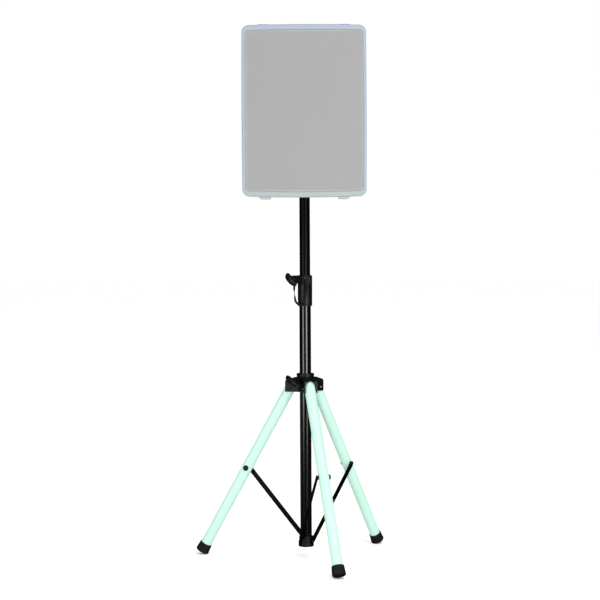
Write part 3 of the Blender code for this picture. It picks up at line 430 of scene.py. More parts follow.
def lit_acrylic():
    """Frosted tube, lit from inside by an LED strip: bright mint, softly uneven."""
    n = Nodes("lit_acrylic")
    uneven = n.range(n.noise(26.0, 3.0, stretch=(1, 1, 0.6)), 0.0, 1.0)
    diodes = n.range(n.noise(160.0, 1.0, stretch=(0.2, 0.2, 1)), 0.0, 1.0)
    n.color(n.mix(uneven, (0.32, 0.49, 0.41), (0.34, 0.51, 0.43)))
    glow = n.mix(diodes, (0.54, 1.0, 0.8), (0.62, 1.0, 0.86))
    n.wire(glow, n.shader.inputs["Emission Color"])
    n.rough(n.range(n.noise(300.0, 3.0), 0.34, 0.46))
    n.bump(n.noise(1600.0, 2.0), 0.00004, 0.4)
    n.set(Emission_Strength=0.14, Specular_IOR_Level=0.3, Coat_Weight=0.1, Coat_Roughness=0.25)
    return n.material


def led_ribbon():
    n = Nodes("led_ribbon")
    dots = n.range(n.cells(90.0), 1.0, 0.0, 0.1, 0.45)
    n.color(n.mix(dots, (0.75, 0.78, 0.76), (0.85, 1.0, 0.92)))
    n.wire(n.mix(dots, (0.25, 0.5, 0.4), (0.75, 1.0, 0.88)), n.shader.inputs["Emission Color"])
    n.set(Emission_Strength=3.0, Roughness=0.5)
    return n.material


def cabinet_plastic():
    """Pale, faded blue-grey moulding with a fine grain, a little greener near its foot."""
    n = Nodes("cabinet_moulding")
    place = n.tree.nodes.new("ShaderNodeSeparateXYZ")
    n.wire(n.coordinates, place.inputs["Vector"])
    lower = n.range(place.outputs["Z"], 1.0, 0.0, CABINET_BOTTOM_Z + 0.012,
                    CABINET_BOTTOM_Z + 0.024)
    upper = n.range(place.outputs["Z"], 0.0, 1.0, CABINET_TOP_Z - 0.024, CABINET_TOP_Z - 0.004)
    faded = n.range(n.noise(9.0, 5.0), 0.0, 1.0)
    body = n.mix(faded, (0.229, 0.253, 0.308), (0.237, 0.264, 0.318))
    body = n.mix(lower, body, (0.229, 0.276, 0.268))
    body = n.mix(upper, body, (0.214, 0.264, 0.321))
    n.color(n.mix(n.edges(0.6, 0.72), body, (0.29, 0.32, 0.37)))
    n.rough(n.range(n.noise(80.0, 3.0), 0.5, 0.66))
    n.bump(n.cells(900.0), 0.00012, 0.5)
    n.bump(n.noise(2200.0, 2.0), 0.00005, 0.5)
    n.set(Specular_IOR_Level=0.35)
    return n.material


def foam():
    n = Nodes("grille_foam")
    pores = n.cells(650.0)
    # Painted light: the foam's grey is set lighter than the sheet's so that it cancels the shade
    # in the grille's holes
    n.color(n.mix(n.range(pores, 0.0, 1.0, 0.15, 0.6), grey(0.264), grey(0.288)))
    n.rough(n.range(n.noise(200.0), 0.9, 1.0))
    n.bump(pores, 0.0006, 0.7)
    n.set(Specular_IOR_Level=0.1)
    return n.material


def webbing():
    """Flat woven strap: cross threads over lengthwise ribs."""
    n = Nodes("strap_weave")
    threads = n.tree.nodes.new("ShaderNodeTexWave")
    threads.bands_direction = "Z"
    threads.inputs["Scale"].default_value = 260.0
    threads.inputs["Distortion"].default_value = 1.5
    n.wire(n.coordinates, threads.inputs["Vector"])
    n.color(n.mix(threads.outputs["Fac"], grey(0.001), grey(0.003)))
    n.rough(n.range(n.noise(500.0), 0.7, 0.95))
    n.bump(threads.outputs["Fac"], 0.00018, 0.8)
    n.set(Sheen_Weight=0.04, Sheen_Roughness=0.5, Specular_IOR_Level=0.2)
    return n.material


def paper_cone():
    n = Nodes("cone_paper")
    fibre = n.noise(240.0, 6.0, 0.7)
    n.color(n.mix(n.range(fibre, 0.0, 1.0), grey(0.018), (0.045, 0.044, 0.043)))
    n.rough(n.range(fibre, 0.75, 0.95))
    n.bump(fibre, 0.0003, 0.5)
    return n.material


def circuit_board():
    n = Nodes("board_green")
    tracks = n.cells(70.0, "DISTANCE_TO_EDGE")
    n.color(n.mix(n.range(tracks, 1.0, 0.0, 0.02, 0.08), (0.03, 0.12, 0.05), (0.1, 0.3, 0.12)))
    n.rough(n.range(n.noise(60.0), 0.3, 0.5))
    n.bump(tracks, 0.0002, 0.4)
    return n.material


def make_materials():
    """Every look by its name: the record's slots, and inner_paint, a more matt black paint."""
    black = (0.0008, 0.0009, 0.001)
    return {
        "black_paint": satin_paint("satin_black", black, grey(0.006), 0.17, 0.22, 0.45),
        "inner_paint": satin_paint("matt_black", (0.0005, 0.0005, 0.0006), grey(0.003),
                                   0.26, 0.36, 0.12),
        "black_plastic": grained_plastic("black_moulding", (0.0016, 0.0019, 0.002),
                                         (0.003, 0.0034, 0.0036), 0.38, 0.5, specular=0.33),
        "rubber": rubber("black_rubber", (0.0022, 0.0027, 0.0029), (0.006, 0.0066, 0.0068)),
        "grey_rubber": rubber("grey_rubber", (0.36, 0.36, 0.37), (0.4, 0.4, 0.41)),
        "steel": brushed_metal("bright_zinc", (0.62, 0.62, 0.63), (0.74, 0.74, 0.75), 0.18, 0.34),
        "dark_steel": brushed_metal("dark_steel", (0.045, 0.045, 0.047), grey(0.09),
                                    0.35, 0.5),
        "aluminium": brushed_metal("aluminium", (0.7, 0.71, 0.72), (0.8, 0.81, 0.82),
                                   0.28, 0.42),
        "lit_tube": lit_acrylic(),
        "led_strip": led_ribbon(),
        "cabinet_plastic": cabinet_plastic(),
        "grille_steel": grained_plastic("grille_paint", grey(0.236),
                                        grey(0.24), 0.55, 0.65, 1600.0, 0.00003, 0.2),
        "foam": foam(),
        "cone_paper": paper_cone(),
        "circuit_board": circuit_board(),
        "webbing": webbing(),
    }


# ---- mesh tools

def clamped(value):
    """A value held between 0 and 1."""
    return min(1.0, max(0.0, value))


def rounded(corners, steps=5):
    """A closed outline from corners (a, b, radius), each rounded by an arc of its radius."""
    points = []
    for i, (a, b, radius) in enumerate(corners):
        here = Vector((a, b))
        if not radius:
            points.append((a, b))
            continue
        before = (Vector(corners[i - 1][:2]) - here).normalized()
        after = (Vector(corners[(i + 1) % len(corners)][:2]) - here).normalized()
        half = before.angle(after) / 2
        centre = here + (before + after).normalized() * (radius / sin(half))
        start = here + before * (radius / tan(half)) - centre
        end = here + after * (radius / tan(half)) - centre
        for k in range(steps + 1):
            points.append(tuple(centre + start.lerp(end, k / steps).normalized() * radius))
    return points


def arc(centre, radius, start, end, steps):
    """Points of a circular arc; angles in degrees."""
    angles = [radians(start + (end - start) * i / steps) for i in range(steps + 1)]
    return [(centre[0] + radius * cos(a), centre[1] + radius * sin(a)) for a in angles]


def bridge(bm, lower, upper):
    """Faces between two rings of the same count, either of which may be a single point."""
    for i in range(len(lower)):
        j = (i + 1) % len(lower)
        corners = []
        for vert in (lower[i], lower[j], upper[j], upper[i]):
            if vert not in corners:
                corners.append(vert)
        if len(corners) > 2:
            bm.faces.new(corners)


def turned(profile, sides=SIDES, axis="Z"):
    """Revolve a closed outline of (radius, height) points around an axis."""
    bm = bmesh.new()
    angles = [2 * pi * i / sides for i in range(sides)]
    rings = []
    for radius, height in profile:
        if radius < 1e-7:
            rings.append([bm.verts.new((0, 0, height))] * sides)
        else:
            rings.append([bm.verts.new((radius * cos(a), radius * sin(a), height))
                          for a in angles])
    for lower, upper in zip(rings, rings[1:] + rings[:1]):
        bridge(bm, lower, upper)
    if axis != "Z":
        along = Vector((1, 0, 0)) if axis == "X" else Vector((0, 1, 0))
        turn = Vector((0, 0, 1)).rotation_difference(along).to_matrix()
        bmesh.ops.rotate(bm, verts=bm.verts[:], cent=(0, 0, 0), matrix=turn)
    return bm


def disc(radius, low, high, edge=0.0):
    """The outline of a turned disc or rod, with rounded ends."""
    return rounded([(0, low, 0), (radius, low, edge), (radius, high, edge), (0, high, 0)])


def pipe(outer, inner, low, high, edge=0.0):
    return rounded([(inner, low, edge / 2), (outer, low, edge), (outer, high, edge),
                    (inner, high, edge / 2)])


def dome(radius, top, slope, steps=8):
    """The outline of a low round head, from its middle at top to its rim; slope in degrees."""
    ball = radius / sin(radians(slope))
    angles = [radians(slope) * i / steps for i in range(steps + 1)]
    return [(ball * sin(a), top + ball * (1 - cos(a))) for a in angles]


def slab(low, high):
    """A box between two corners."""
    bm = bmesh.new()
    bmesh.ops.create_cube(bm, size=1.0)
    for vert in bm.verts:
        vert.co = [a + (c + 0.5) * (b - a) for a, b, c in zip(low, high, vert.co)]
    return bm


def prism(outline, low, high, axis="X", bevel=0.0):
    """Extrude a flat outline along X or Y and round the edges of its two ends."""
    bm = bmesh.new()
    near, far = [[bm.verts.new((d, a, b) if axis == "X" else (a, d, b)) for a, b in outline]
                 for d in (low, high)]
    bridge(bm, near, far)
    ends = [bm.faces.new(near), bm.faces.new(far)]
    if bevel:
        edges = [edge for face in ends for edge in face.edges]
        bmesh.ops.bevel(bm, geom=edges, offset=bevel, segments=3, profile=0.5,
                        affect="EDGES", clamp_overlap=False)
    return bm


def loft(rings):
    """A capped skin through rings of 3-D points."""
    bm = bmesh.new()
    rows = [[bm.verts.new(point) for point in ring] for ring in rings]
    for lower, upper in zip(rows, rows[1:]):
        bridge(bm, lower, upper)
    bm.faces.new(rows[0])
    bm.faces.new(rows[-1])
    return bm


def new_piece(name, bm, place=Matrix()):
    bmesh.ops.recalc_face_normals(bm, faces=bm.faces[:])
    mesh = bpy.data.meshes.new(name)
    bm.to_mesh(mesh)
    bm.free()
    piece = bpy.data.objects.new(name, mesh)
    piece.matrix_world = place
    bpy.context.scene.collection.objects.link(piece)
    return piece


def carve(piece, bm, place, operation="DIFFERENCE"):
    """Cut a shape out of a piece, or with UNION join it on."""
    tool = new_piece("tool", bm, place)
    modifier = piece.modifiers.new("carve", "BOOLEAN")
    modifier.operation = operation
    modifier.solver = "EXACT"
    modifier.object = tool
    bpy.context.view_layer.update()
    graph = bpy.context.evaluated_depsgraph_get()
    mesh = bpy.data.meshes.new_from_object(piece.evaluated_get(graph))
    piece.modifiers.clear()
    piece.data = mesh
    bpy.data.objects.remove(tool)


def finish(piece, body, slot, nodes=(), angle=32, look=None):
    """Smooth shading, the look of its slot, the body it rides on, and hiding the CAD nodes it
    stands for.

    The look is the slot's own unless another is named. A piece given no body is left unattached
    here."""
    mesh = piece.data
    mesh.shade_smooth()
    mesh.set_sharp_from_angle(angle=radians(angle))
    mesh.materials.clear()
    mesh.materials.append(LOOKS[look or slot])
    piece.modifiers.new("even_shading", "WEIGHTED_NORMAL").keep_sharp = True
    if body:
        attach(piece, body)
    if nodes:
        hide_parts(*nodes)


def add_turned(name, outline, place, body, slot, nodes=(), axis="Z", sides=SIDES, look=None):
    """A finished piece turned from an outline of (radius, height) points."""
    finish(new_piece(name, turned(outline, sides, axis), place), body, slot, nodes, look=look)


def drill(piece, place, radius, low, high, axis="Z", sides=SIDES_SMALL):
    """Cut a round hole along an axis."""
    carve(piece, turned(disc(radius, low, high), sides, axis), place)


def on_mast(x, y, z):
    """A frame beside the mast's axis, square to the row frame."""
    return MAST @ Matrix.Translation((x, y, z))


def around(azimuth, place=(0, 0, 0)):
    """A frame on the mast's axis turned to an azimuth, so that its -Y points that way."""
    return MAST @ Matrix.Rotation(radians(azimuth), 4, "Z") @ Matrix.Translation(place)


# ---- masts, collar and pin

def make_tubes():
    low, high = span("outer_tube", "z")
    add_turned("outer_mast", pipe(OUTER_R, OUTER_BORE_R, low, high, 0.0005), MAST, "lower_mast",
               "black_paint", ["outer_tube"])
    low, high = span("inner_tube", "z")
    add_turned("inner_mast_tube", pipe(INNER_R, INNER_BORE_R, low, high, 0.0005), MAST,
               "inner_mast", "black_paint", ["inner_tube"], look="inner_paint")


def make_collar():
    """The moulded clamp on the lower mast: a sleeve, the knob's boss and the pin's block."""
    low, high = span("clamp_collar", "z")
    lip = high - 0.012
    bore = OUTER_R + GAP
    profile = rounded([
        (bore, low, 0.0003), (COLLAR_R - 0.0006, low, 0.0008),
        (COLLAR_R - 0.0006, low + 0.0052, 0),
        (COLLAR_R - 0.0012, low + 0.0058, 0), (COLLAR_R - 0.0012, low + 0.0068, 0),
        (COLLAR_R - 0.0004, low + 0.0076, 0.0002), (COLLAR_R, high - 0.004, 0.002),
        (COLLAR_R - 0.0028, high, 0.001), (OUTER_BORE_R, high, 0.0005), (OUTER_BORE_R, lip, 0),
        (bore, lip, 0),
    ])
    collar = new_piece("mast_collar", turned(profile), MAST)
    boss = rounded([(-0.011, 0.911, 0.0035), (0.011, 0.911, 0.0035), (0.011, 0.9375, 0.0045),
                    (-0.011, 0.9375, 0.0045)])
    carve(collar, prism(boss, -CLAMP_BOSS_END, -0.02, "Y", 0.0014), around(KNOB_AZIMUTH),
          "UNION")
    block = rounded([(-0.009, 0.91, 0.0026), (0.019, 0.91, 0.0026), (0.019, 0.9362, 0.003),
                     (-0.009, 0.9362, 0.003)])
    carve(collar, prism(block, -0.031, -0.0185, "Y", 0.0012), MAST, "UNION")
    drill(collar, MAST, bore, low - 0.01, lip, sides=SIDES)
    drill(collar, MAST, OUTER_BORE_R, lip - 0.001, high + 0.01, sides=SIDES)
    drill(collar, on_mast(0, 0, PIN_Z), PIN_HOLE_R, -0.05, -0.01, "Y")
    drill(collar, around(KNOB_AZIMUTH, (0, 0, CLAMP_KNOB_Z)), STUD_HOLE_R, -0.08, -0.01, "Y")
    finish(collar, "lower_mast", "black_plastic", ["clamp_collar"])


def wing_ring(along, width, height, bend, count=28):
    """One slice across a knob's wing: a rounded rectangle, bent back towards the mast."""
    ring = []
    for i in range(count):
        angle = 2 * pi * i / count
        c, s = cos(angle), sin(angle)
        ring.append((along, width * abs(c) ** 0.75 * (1 if c > 0 else -1) - bend,
                     height * abs(s) ** 0.75 * (1 if s > 0 else -1)))
    return ring


def make_knob(name, node, boss_end, height, half_length, turn, fullness):
    """A half-moon wing knob moulded on its stud, its wing turned about the stud."""
    place = around(KNOB_AZIMUTH, (0, 0, height)) @ Matrix.Rotation(radians(turn), 4, "Y")
    centre = boss_end + 0.0135
    stations = 24
    rings = []
    for i in range(stations + 1):
        t = -cos(pi * i / stations)
        size = max(0.16, (1 - abs(t) ** 3.4) ** 0.5)
        along = half_length * t
        belly = fullness * (1 - t * t)
        bend = centre - 3.5 * along * along + belly
        rings.append(wing_ring(along, (0.0078 + belly) * size, 0.0095 * size, bend))
    knob = new_piece(name, loft(rings), place)
    neck = rounded([(0, -centre, 0), (0.0078, -centre, 0), (0.0082, -boss_end - 0.005, 0.001),
                    (0.0096, -boss_end - 0.004, 0.0006), (0.0096, -boss_end - 0.0005, 0.0004),
                    (0, -boss_end - 0.0005, 0)])
    carve(knob, turned(neck, 40, "Y"), place, "UNION")
    stud = disc(0.004, -centre, -OUTER_R - GAP, 0.0004)
    carve(knob, turned(stud, SIDES_SMALL, "Y"), place, "UNION")
    finish(knob, node, "black_plastic", [node], angle=40)


def make_pin():
    """The spring pin's head and shank."""
    profile = dome(0.0046, -0.0375, 50) + rounded([
        (0.0046, -0.0345, 0.0003),
        (0.004, -0.0342, 0.0002), (0.004, -0.0332, 0.0002), (0.0046, -0.0329, 0.0003),
        (0.0046, -0.0318, 0.0004), (0.0025, -0.0316, 0.0001), (0.0025, -0.0192, 0.0003),
        (0.0012, -0.018, 0.0002), (0, -0.018, 0),
    ])
    add_turned("pin_shank", profile, on_mast(0, 0, PIN_Z), "safety_pin", "steel", ["safety_pin"],
               "Y", SIDES_SMALL, "dark_steel")


def smooth_route(route, pieces):
    """Catmull-Rom points through a route."""
    points = [Vector(p) for p in route]
    padded = [2 * points[0] - points[1]] + points + [2 * points[-1] - points[-2]]
    result = []
    for a, b, c, d in zip(padded, padded[1:], padded[2:], padded[3:]):
        for step in range(pieces):
            t = step / pieces
            result.append(0.5 * (2 * b + (c - a) * t + (2 * a - 5 * b + 4 * c - d) * t * t
                                 + (3 * b - a - 3 * c + d) * t ** 3))
    result.append(points[-1])
    return result


def make_strap():
    """Flat webbing from the pin's head down the front of the collar and up to the clamp boss."""
    line = [Vector((x + MAST_X, y + MAST_Y, z)) for x, y, z in smooth_route(STRAP_ROUTE, 4)]
    axis = Vector((MAST_X, MAST_Y, 0))
    section = rounded_rectangle(STRAP_WIDTH / 2, STRAP_THICK / 2, 0.0004, 2)
    rings = []
    for i, point in enumerate(line):
        along = (line[min(i + 1, len(line) - 1)] - line[max(i - 1, 0)]).normalized()
        outward = point - axis
        share = i / (len(line) - 1)
        outward.x *= 1.0 - clamped((share - STRAP_FLAT_FROM) / STRAP_FLAT_OVER)
        outward.z = 0
        face = (outward - along * outward.dot(along)).normalized()
        twist = STRAP_TWIST * sin(pi * clamped((share - STRAP_TWIST_FROM) / STRAP_TWIST_OVER))
        face = Matrix.Rotation(twist, 3, along) @ face
        side = along.cross(face)
        rings.append([point + side * a + face * b for a, b in section])
    strap = new_piece("strap", loft(rings))
    finish(strap, None, "webbing", ["pin_strap"], angle=50)
    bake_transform(strap)


# ---- hubs

def make_leg_hub():
    """A sleeve on the mast with three channel-shaped arms that the legs' tops swing in."""
    core = rounded([
        (0, HUB_BOTTOM_Z, 0), (HUB_CORE_R, HUB_BOTTOM_Z, 0.0015),
        (HUB_CORE_R, HUB_ARM_TOP_Z, 0.0008), (HUB_CORE_R - 0.0012, HUB_ARM_TOP_Z + 0.0008, 0),
        (HUB_CORE_R - 0.0012, HUB_TOP_Z - 0.009, 0), (HUB_CORE_R, HUB_TOP_Z - 0.0084, 0.0005),
        (HUB_CORE_R, HUB_TOP_Z, 0.0012), (0, HUB_TOP_Z, 0),
    ])
    hub = new_piece("hub_body", turned(core), MAST)
    end, top = HUB_ARM_END, HUB_ARM_TOP_Z
    side_view = rounded([
        (-0.015, HUB_BOTTOM_Z, 0), (-end, HUB_BOTTOM_Z, 0.002), (-end, top - 0.0105, 0.005),
        (-0.029, top, 0.006), (-0.015, top, 0),
    ])
    boss = rounded([
        (-0.01, HUB_KNOB_Z - 0.011, 0.003), (0.01, HUB_KNOB_Z - 0.011, 0.003),
        (0.01, HUB_KNOB_Z + 0.011, 0.004), (-0.01, HUB_KNOB_Z + 0.011, 0.004),
    ])
    carve(hub, prism(boss, -HUB_BOSS_END, -0.02, "Y", 0.0012), around(KNOB_AZIMUTH), "UNION")
    for azimuth in LEG_AZIMUTH.values():
        arm = prism(side_view, -HUB_ARM_HALF, HUB_ARM_HALF, "X", 0.0016)
        carve(hub, arm, around(azimuth), "UNION")
    arch_z = LEG_PIVOT_Z + LEG_DOME_START + LEG_DOME_HEIGHT + 0.0015 - HUB_SLOT_HALF
    arch = [(HUB_SLOT_HALF * c, arch_z + HUB_SLOT_HALF * s) for c, s in arc((0, 0), 1, 0, 180, 24)]
    below = HUB_BOTTOM_Z - 0.02
    front_view = arch + [(-HUB_SLOT_HALF, below), (HUB_SLOT_HALF, below)]
    for azimuth in LEG_AZIMUTH.values():
        carve(hub, prism(front_view, -0.09, -0.028, "Y"), around(azimuth))
    drill(hub, MAST, OUTER_R + GAP, 0.45, 0.7, sides=SIDES)
    drill(hub, around(KNOB_AZIMUTH, (0, 0, HUB_KNOB_Z)), STUD_HOLE_R, -0.08, -0.01, "Y")
    finish(hub, "leg_hub", "black_plastic", ["leg_hub"])


def make_pivot_bolts():
    """Each leg's hinge rivet: a bright head on one side, a black cap on the other, and the
    small rivet beside it."""
    low, high = HUB_ARM_HALF + GAP, HUB_ARM_HALF + 0.003
    head = PIVOT_HEAD_R
    for side, azimuth in LEG_AZIMUTH.items():
        place = around(azimuth, (0, -LEG_PIVOT_R, LEG_PIVOT_Z))
        profile = dome(head, -high, 46) + [(head, -low), (PIVOT_PIN_R, -low),
                                           (PIVOT_PIN_R, low - 0.001), (0, low - 0.001)]
        add_turned("hinge_bolt_" + side, profile, place, "leg_hub", "steel",
                   ["leg_pivot_bolt_" + side], "X", SIDES_SMALL)
        profile = rounded([(0, low, 0), (head, low, 0.0002), (head, high, 0.0012), (0, high, 0)])
        add_turned("hinge_cap_" + side, profile, place, "leg_hub", "black_plastic", (), "X",
                   SIDES_SMALL)
        small = dome(0.003, -HUB_ARM_HALF - 0.0022, 64)
        small += [(0.003, -HUB_ARM_HALF + 0.001), (0, -HUB_ARM_HALF + 0.001)]
        place = around(azimuth, (0, -LEG_PIVOT_R + 0.0162, LEG_PIVOT_Z + 0.0006))
        add_turned("arm_rivet_" + side, small, place, "leg_hub", "steel", (), "X", 24,
                   "dark_steel")


def make_power_inlet():
    """The socket that feeds the lit legs; its plug comes from below."""
    start, end = -HUB_CORE_R - GAP, -HUB_CORE_R - 0.013
    low, high = HUB_BOTTOM_Z + 0.004, HUB_BOTTOM_Z + 0.026
    outline = rounded([(end, low, 0.0012), (start, low, 0.0003), (start, high, 0.0003),
                       (end, high, 0.003)])
    box = new_piece("power_socket", prism(outline, -0.0064, 0.0064, "X", 0.001),
                    around(INLET_AZIMUTH))
    well = around(INLET_AZIMUTH, (0, (start + end) / 2, 0))
    drill(box, well, 0.0045, low - 0.01, low + 0.012)
    carve(box, turned(disc(0.0012, low + 0.003, low + 0.0125, 0.0005), 16), well, "UNION")
    finish(box, "leg_hub", "black_plastic", ["power_inlet"])


def make_lower_hub():
    low, high = span("lower_hub", "z")
    bore = OUTER_R + GAP
    profile = rounded([
        (bore, low, 0), (LOWER_HUB_R, low, 0.0018), (LOWER_HUB_R, 0.048, 0.0008),
        (0.0235, 0.052, 0.001), (0.0235, high, 0.0024), (bore, high, 0.0004),
    ])
    hub = new_piece("brace_hub", turned(profile), MAST)
    for azimuth in LEG_AZIMUTH.values():
        flat = slab((-0.05, -0.05, 0.0465), (-LOWER_HUB_FLAT_X, 0.006, 0.1))
        carve(hub, flat, around(azimuth))
        seat = around(azimuth, (0, -BRACE_PIVOT_R, BRACE_PIVOT_Z))
        drill(hub, seat, BRACE_HOLE_R, -0.04, -0.015, "X")
    finish(hub, "lower_mast", "black_plastic", ["lower_hub"])
    head = LOWER_HUB_FLAT_X + GAP + BRACE_THICK + GAP
    profile = rounded([
        (0, -head - 0.0012, 0), (0.0021, -head - 0.0012, 0), (0.0021, -head - 0.0028, 0.0001),
        (0.0055, -head - 0.0028, 0.0014), (0.0055, -head, 0.0002), (0.003, -head, 0),
        (0.003, -0.0196, 0.0004), (0, -0.0196, 0),
    ])
    for side, azimuth in LEG_AZIMUTH.items():
        place = around(azimuth, (0, -BRACE_PIVOT_R, BRACE_PIVOT_Z))
        add_turned("brace_screw_" + side, profile, place, "lower_mast", "steel",
                   ["brace_pivot_bolt_" + side], "X", SIDES_SMALL, "dark_steel")
    low, high = span("mast_end_plug", "z")
    plug = rounded([(0, low, 0), (0.0186, low, 0.0016), (0.0186, 0.0462, 0.0002),
                    (0.0174, 0.0462, 0), (0.0174, high, 0.0006), (0, high, 0)])
    add_turned("mast_plug", plug, MAST, "lower_mast", "black_plastic", ["mast_end_plug"])


# ---- legs and braces

def leg_frame(side, along=0.0):
    """A leg's own frame: -Z down the leg, -Y away from the mast, X along its hinge."""
    tilt = Matrix.Rotation(-LEG_TILT, 4, "X") @ Matrix.Translation((0, 0, -along))
    return around(LEG_AZIMUTH[side], (0, -LEG_PIVOT_R, LEG_PIVOT_Z)) @ tilt


def make_leg(side):
    body = "leg_" + side
    place = leg_frame(side)
    end = -LEG_LENGTH + FOOT_SOLE_THICK + GAP
    wall = LEG_TUBE_R - LEG_TUBE_BORE_R
    top = LEG_DOME_START + LEG_DOME_HEIGHT
    blunt = [(max(0.0, c) ** 0.8, max(0.0, s) ** 0.8) for c, s in arc((0, 0), 1.0, 0, 90, 14)]
    outer = [(LEG_TUBE_R * c, LEG_DOME_START + LEG_DOME_HEIGHT * s) for c, s in blunt[:-1]]
    inner = [(LEG_TUBE_BORE_R * c, LEG_DOME_START + (LEG_DOME_HEIGHT - wall) * s)
             for c, s in reversed(blunt[:-1])]
    profile = [(LEG_TUBE_R, end)] + outer + [(0, top), (0, top - wall)] + inner
    tube = new_piece("lit_tube_" + side, turned(profile + [(LEG_TUBE_BORE_R, end)]), place)
    for radius, along in ((PIVOT_PIN_R + GAP, 0.0), (BRACE_HOLE_R, BRACE_ON_LEG)):
        drill(tube, leg_frame(side, along), radius, -0.03, 0.03, "X")
    finish(tube, body, "lit_tube", ["leg_tube_" + side])
    make_boot(side)
    make_brace_bolt(side)


def make_boot(side):
    """A moulded rubber boot with upright flutes, a plain rim and a rounded sole."""
    sole, rim = -LEG_LENGTH, -LEG_LENGTH + FOOT_LENGTH
    inner = LEG_TUBE_R + GAP
    profile = rounded([
        (0, sole, 0), (FOOT_SOLE_R, sole, FOOT_EDGE_R),
        (FOOT_RIM_R + 0.0004, rim - 0.0052, 0.0006),
        (FOOT_RIM_R, rim - 0.0046, 0), (FOOT_RIM_R, rim, 0.0008), (inner, rim, 0.0004),
        (inner, sole + FOOT_SOLE_THICK, 0), (0, sole + FOOT_SOLE_THICK, 0),
    ])
    flutes, sides = 28, 168
    bm = turned(profile, sides)
    for vert in bm.verts:
        radius = hypot(vert.co.x, vert.co.y)
        low = clamped((vert.co.z - sole - 0.003) / 0.003)
        high = clamped((rim - 0.005 - vert.co.z) / 0.002)
        if radius > inner + 0.0005 and low * high > 0:
            wave = 0.5 - 0.5 * cos(flutes * atan2(vert.co.y, vert.co.x))
            sunk = 0.0007 * wave ** 3 * low * high / radius
            vert.co.x -= vert.co.x * sunk
            vert.co.y -= vert.co.y * sunk
    boot = new_piece("boot_" + side, bm, leg_frame(side))
    finish(boot, "leg_" + side, "rubber", ["leg_foot_" + side], angle=45)


def make_brace_bolt(side):
    near = LEG_TUBE_R + GAP
    cap = near + 0.0042
    washer = -(BRACE_X - BRACE_THICK / 2 - GAP)
    profile = rounded([
        (0, washer, 0), (0.0068, washer, 0.0004), (0.0068, -near, 0.0004), (0.003, -near, 0),
        (0.003, near, 0), (0.0092, near, 0.0004), (0.0092, near + 0.002, 0.0008),
        (0.007, cap, 0.0016), (0.0026, cap, 0.0002), (0.0022, cap - 0.0008, 0.0002),
        (0, cap - 0.0008, 0),
    ])
    add_turned("brace_knuckle_" + side, profile, leg_frame(side, BRACE_ON_LEG), "leg_" + side,
               "black_plastic", ["brace_bolt_" + side], "X", 40)


def make_brace(side):
    """A flat steel bar with round ends, from the lower hub to its leg, and its top rivet."""
    run = LEG_PIVOT_R + BRACE_ON_LEG * sin(LEG_TILT) - BRACE_PIVOT_R
    rise = LEG_PIVOT_Z - BRACE_ON_LEG * cos(LEG_TILT) - BRACE_PIVOT_Z
    length = hypot(run, rise)
    place = around(LEG_AZIMUTH[side], (0, -BRACE_PIVOT_R, BRACE_PIVOT_Z))
    place = place @ Matrix.Rotation(atan2(run, rise), 4, "X")
    half = BRACE_WIDTH / 2
    outline = arc((0, 0), half, 180, 360, 24) + arc((0, length), half, 0, 180, 24)
    low, high = -BRACE_X - BRACE_THICK / 2, -BRACE_X + BRACE_THICK / 2
    bar = new_piece("brace_" + side, prism(outline, low, high, "X", 0.0007), place)
    drill(bar, place, BRACE_HOLE_R, -0.04, -0.01, "X")
    finish(bar, "brace_" + side, "black_paint", ["brace_bar_" + side], look="inner_paint")
    profile = rounded([(0, low - 0.0018, 0), (0.0026, low - 0.0018, 0.0008),
                       (0.0044, low - 0.0006, 0.0006), (0.0044, low + 0.0006, 0),
                       (0, low + 0.0006, 0)])
    add_turned("brace_rivet_" + side, profile, place @ Matrix.Translation((0, 0, length)),
               "brace_" + side, "dark_steel", (), "X", SIDES_SMALL)


# ---- cabinet

def cabinet_outline(side_inset=0.0, end_inset=0.0, corner=CABINET_CORNER_R, steps=12, spans=24):
    """Front view of the cabinet, (x, z): bowed edges between round corners."""
    half = CABINET_HALF_WIDTH - side_inset
    low, high = CABINET_BOTTOM_Z + end_inset, CABINET_TOP_Z - end_inset
    flat = half - corner
    low_corner = low + CABINET_BOTTOM_BOW + corner
    high_corner = high - CABINET_TOP_BOW - corner
    points = []
    for i in range(spans):
        x = -flat + 2 * flat * i / spans
        points.append((x, low + CABINET_BOTTOM_BOW * (x / flat) ** 2))
    points += arc((flat, low_corner), corner, -90, 0, steps)
    points += side_points(half, low_corner, high_corner, spans)
    points += arc((flat, high_corner), corner, 0, 90, steps)
    for i in range(1, spans):
        x = flat - 2 * flat * i / spans
        points.append((x, high - CABINET_TOP_BOW * (x / flat) ** 2))
    points += arc((-flat, high_corner), corner, 90, 180, steps)
    points += [(-x, z) for x, z in reversed(side_points(half, low_corner, high_corner, spans))]
    points += arc((-flat, low_corner), corner, 180, 270, steps)[:-1]
    return [(x + MAST_X, z) for x, z in points]


def side_points(half, low, high, spans):
    """Points up the right side, between its corners, bowed outwards at the middle."""
    shares = [i / spans for i in range(1, spans)]
    return [(half + CABINET_SIDE_BOW * sin(pi * t), low + (high - low) * t) for t in shares]


def ring_at(y, side_inset=0.0, end_inset=0.0, corner=CABINET_CORNER_R):
    return [(x, y + MAST_Y, z) for x, z in cabinet_outline(side_inset, end_inset, corner)]


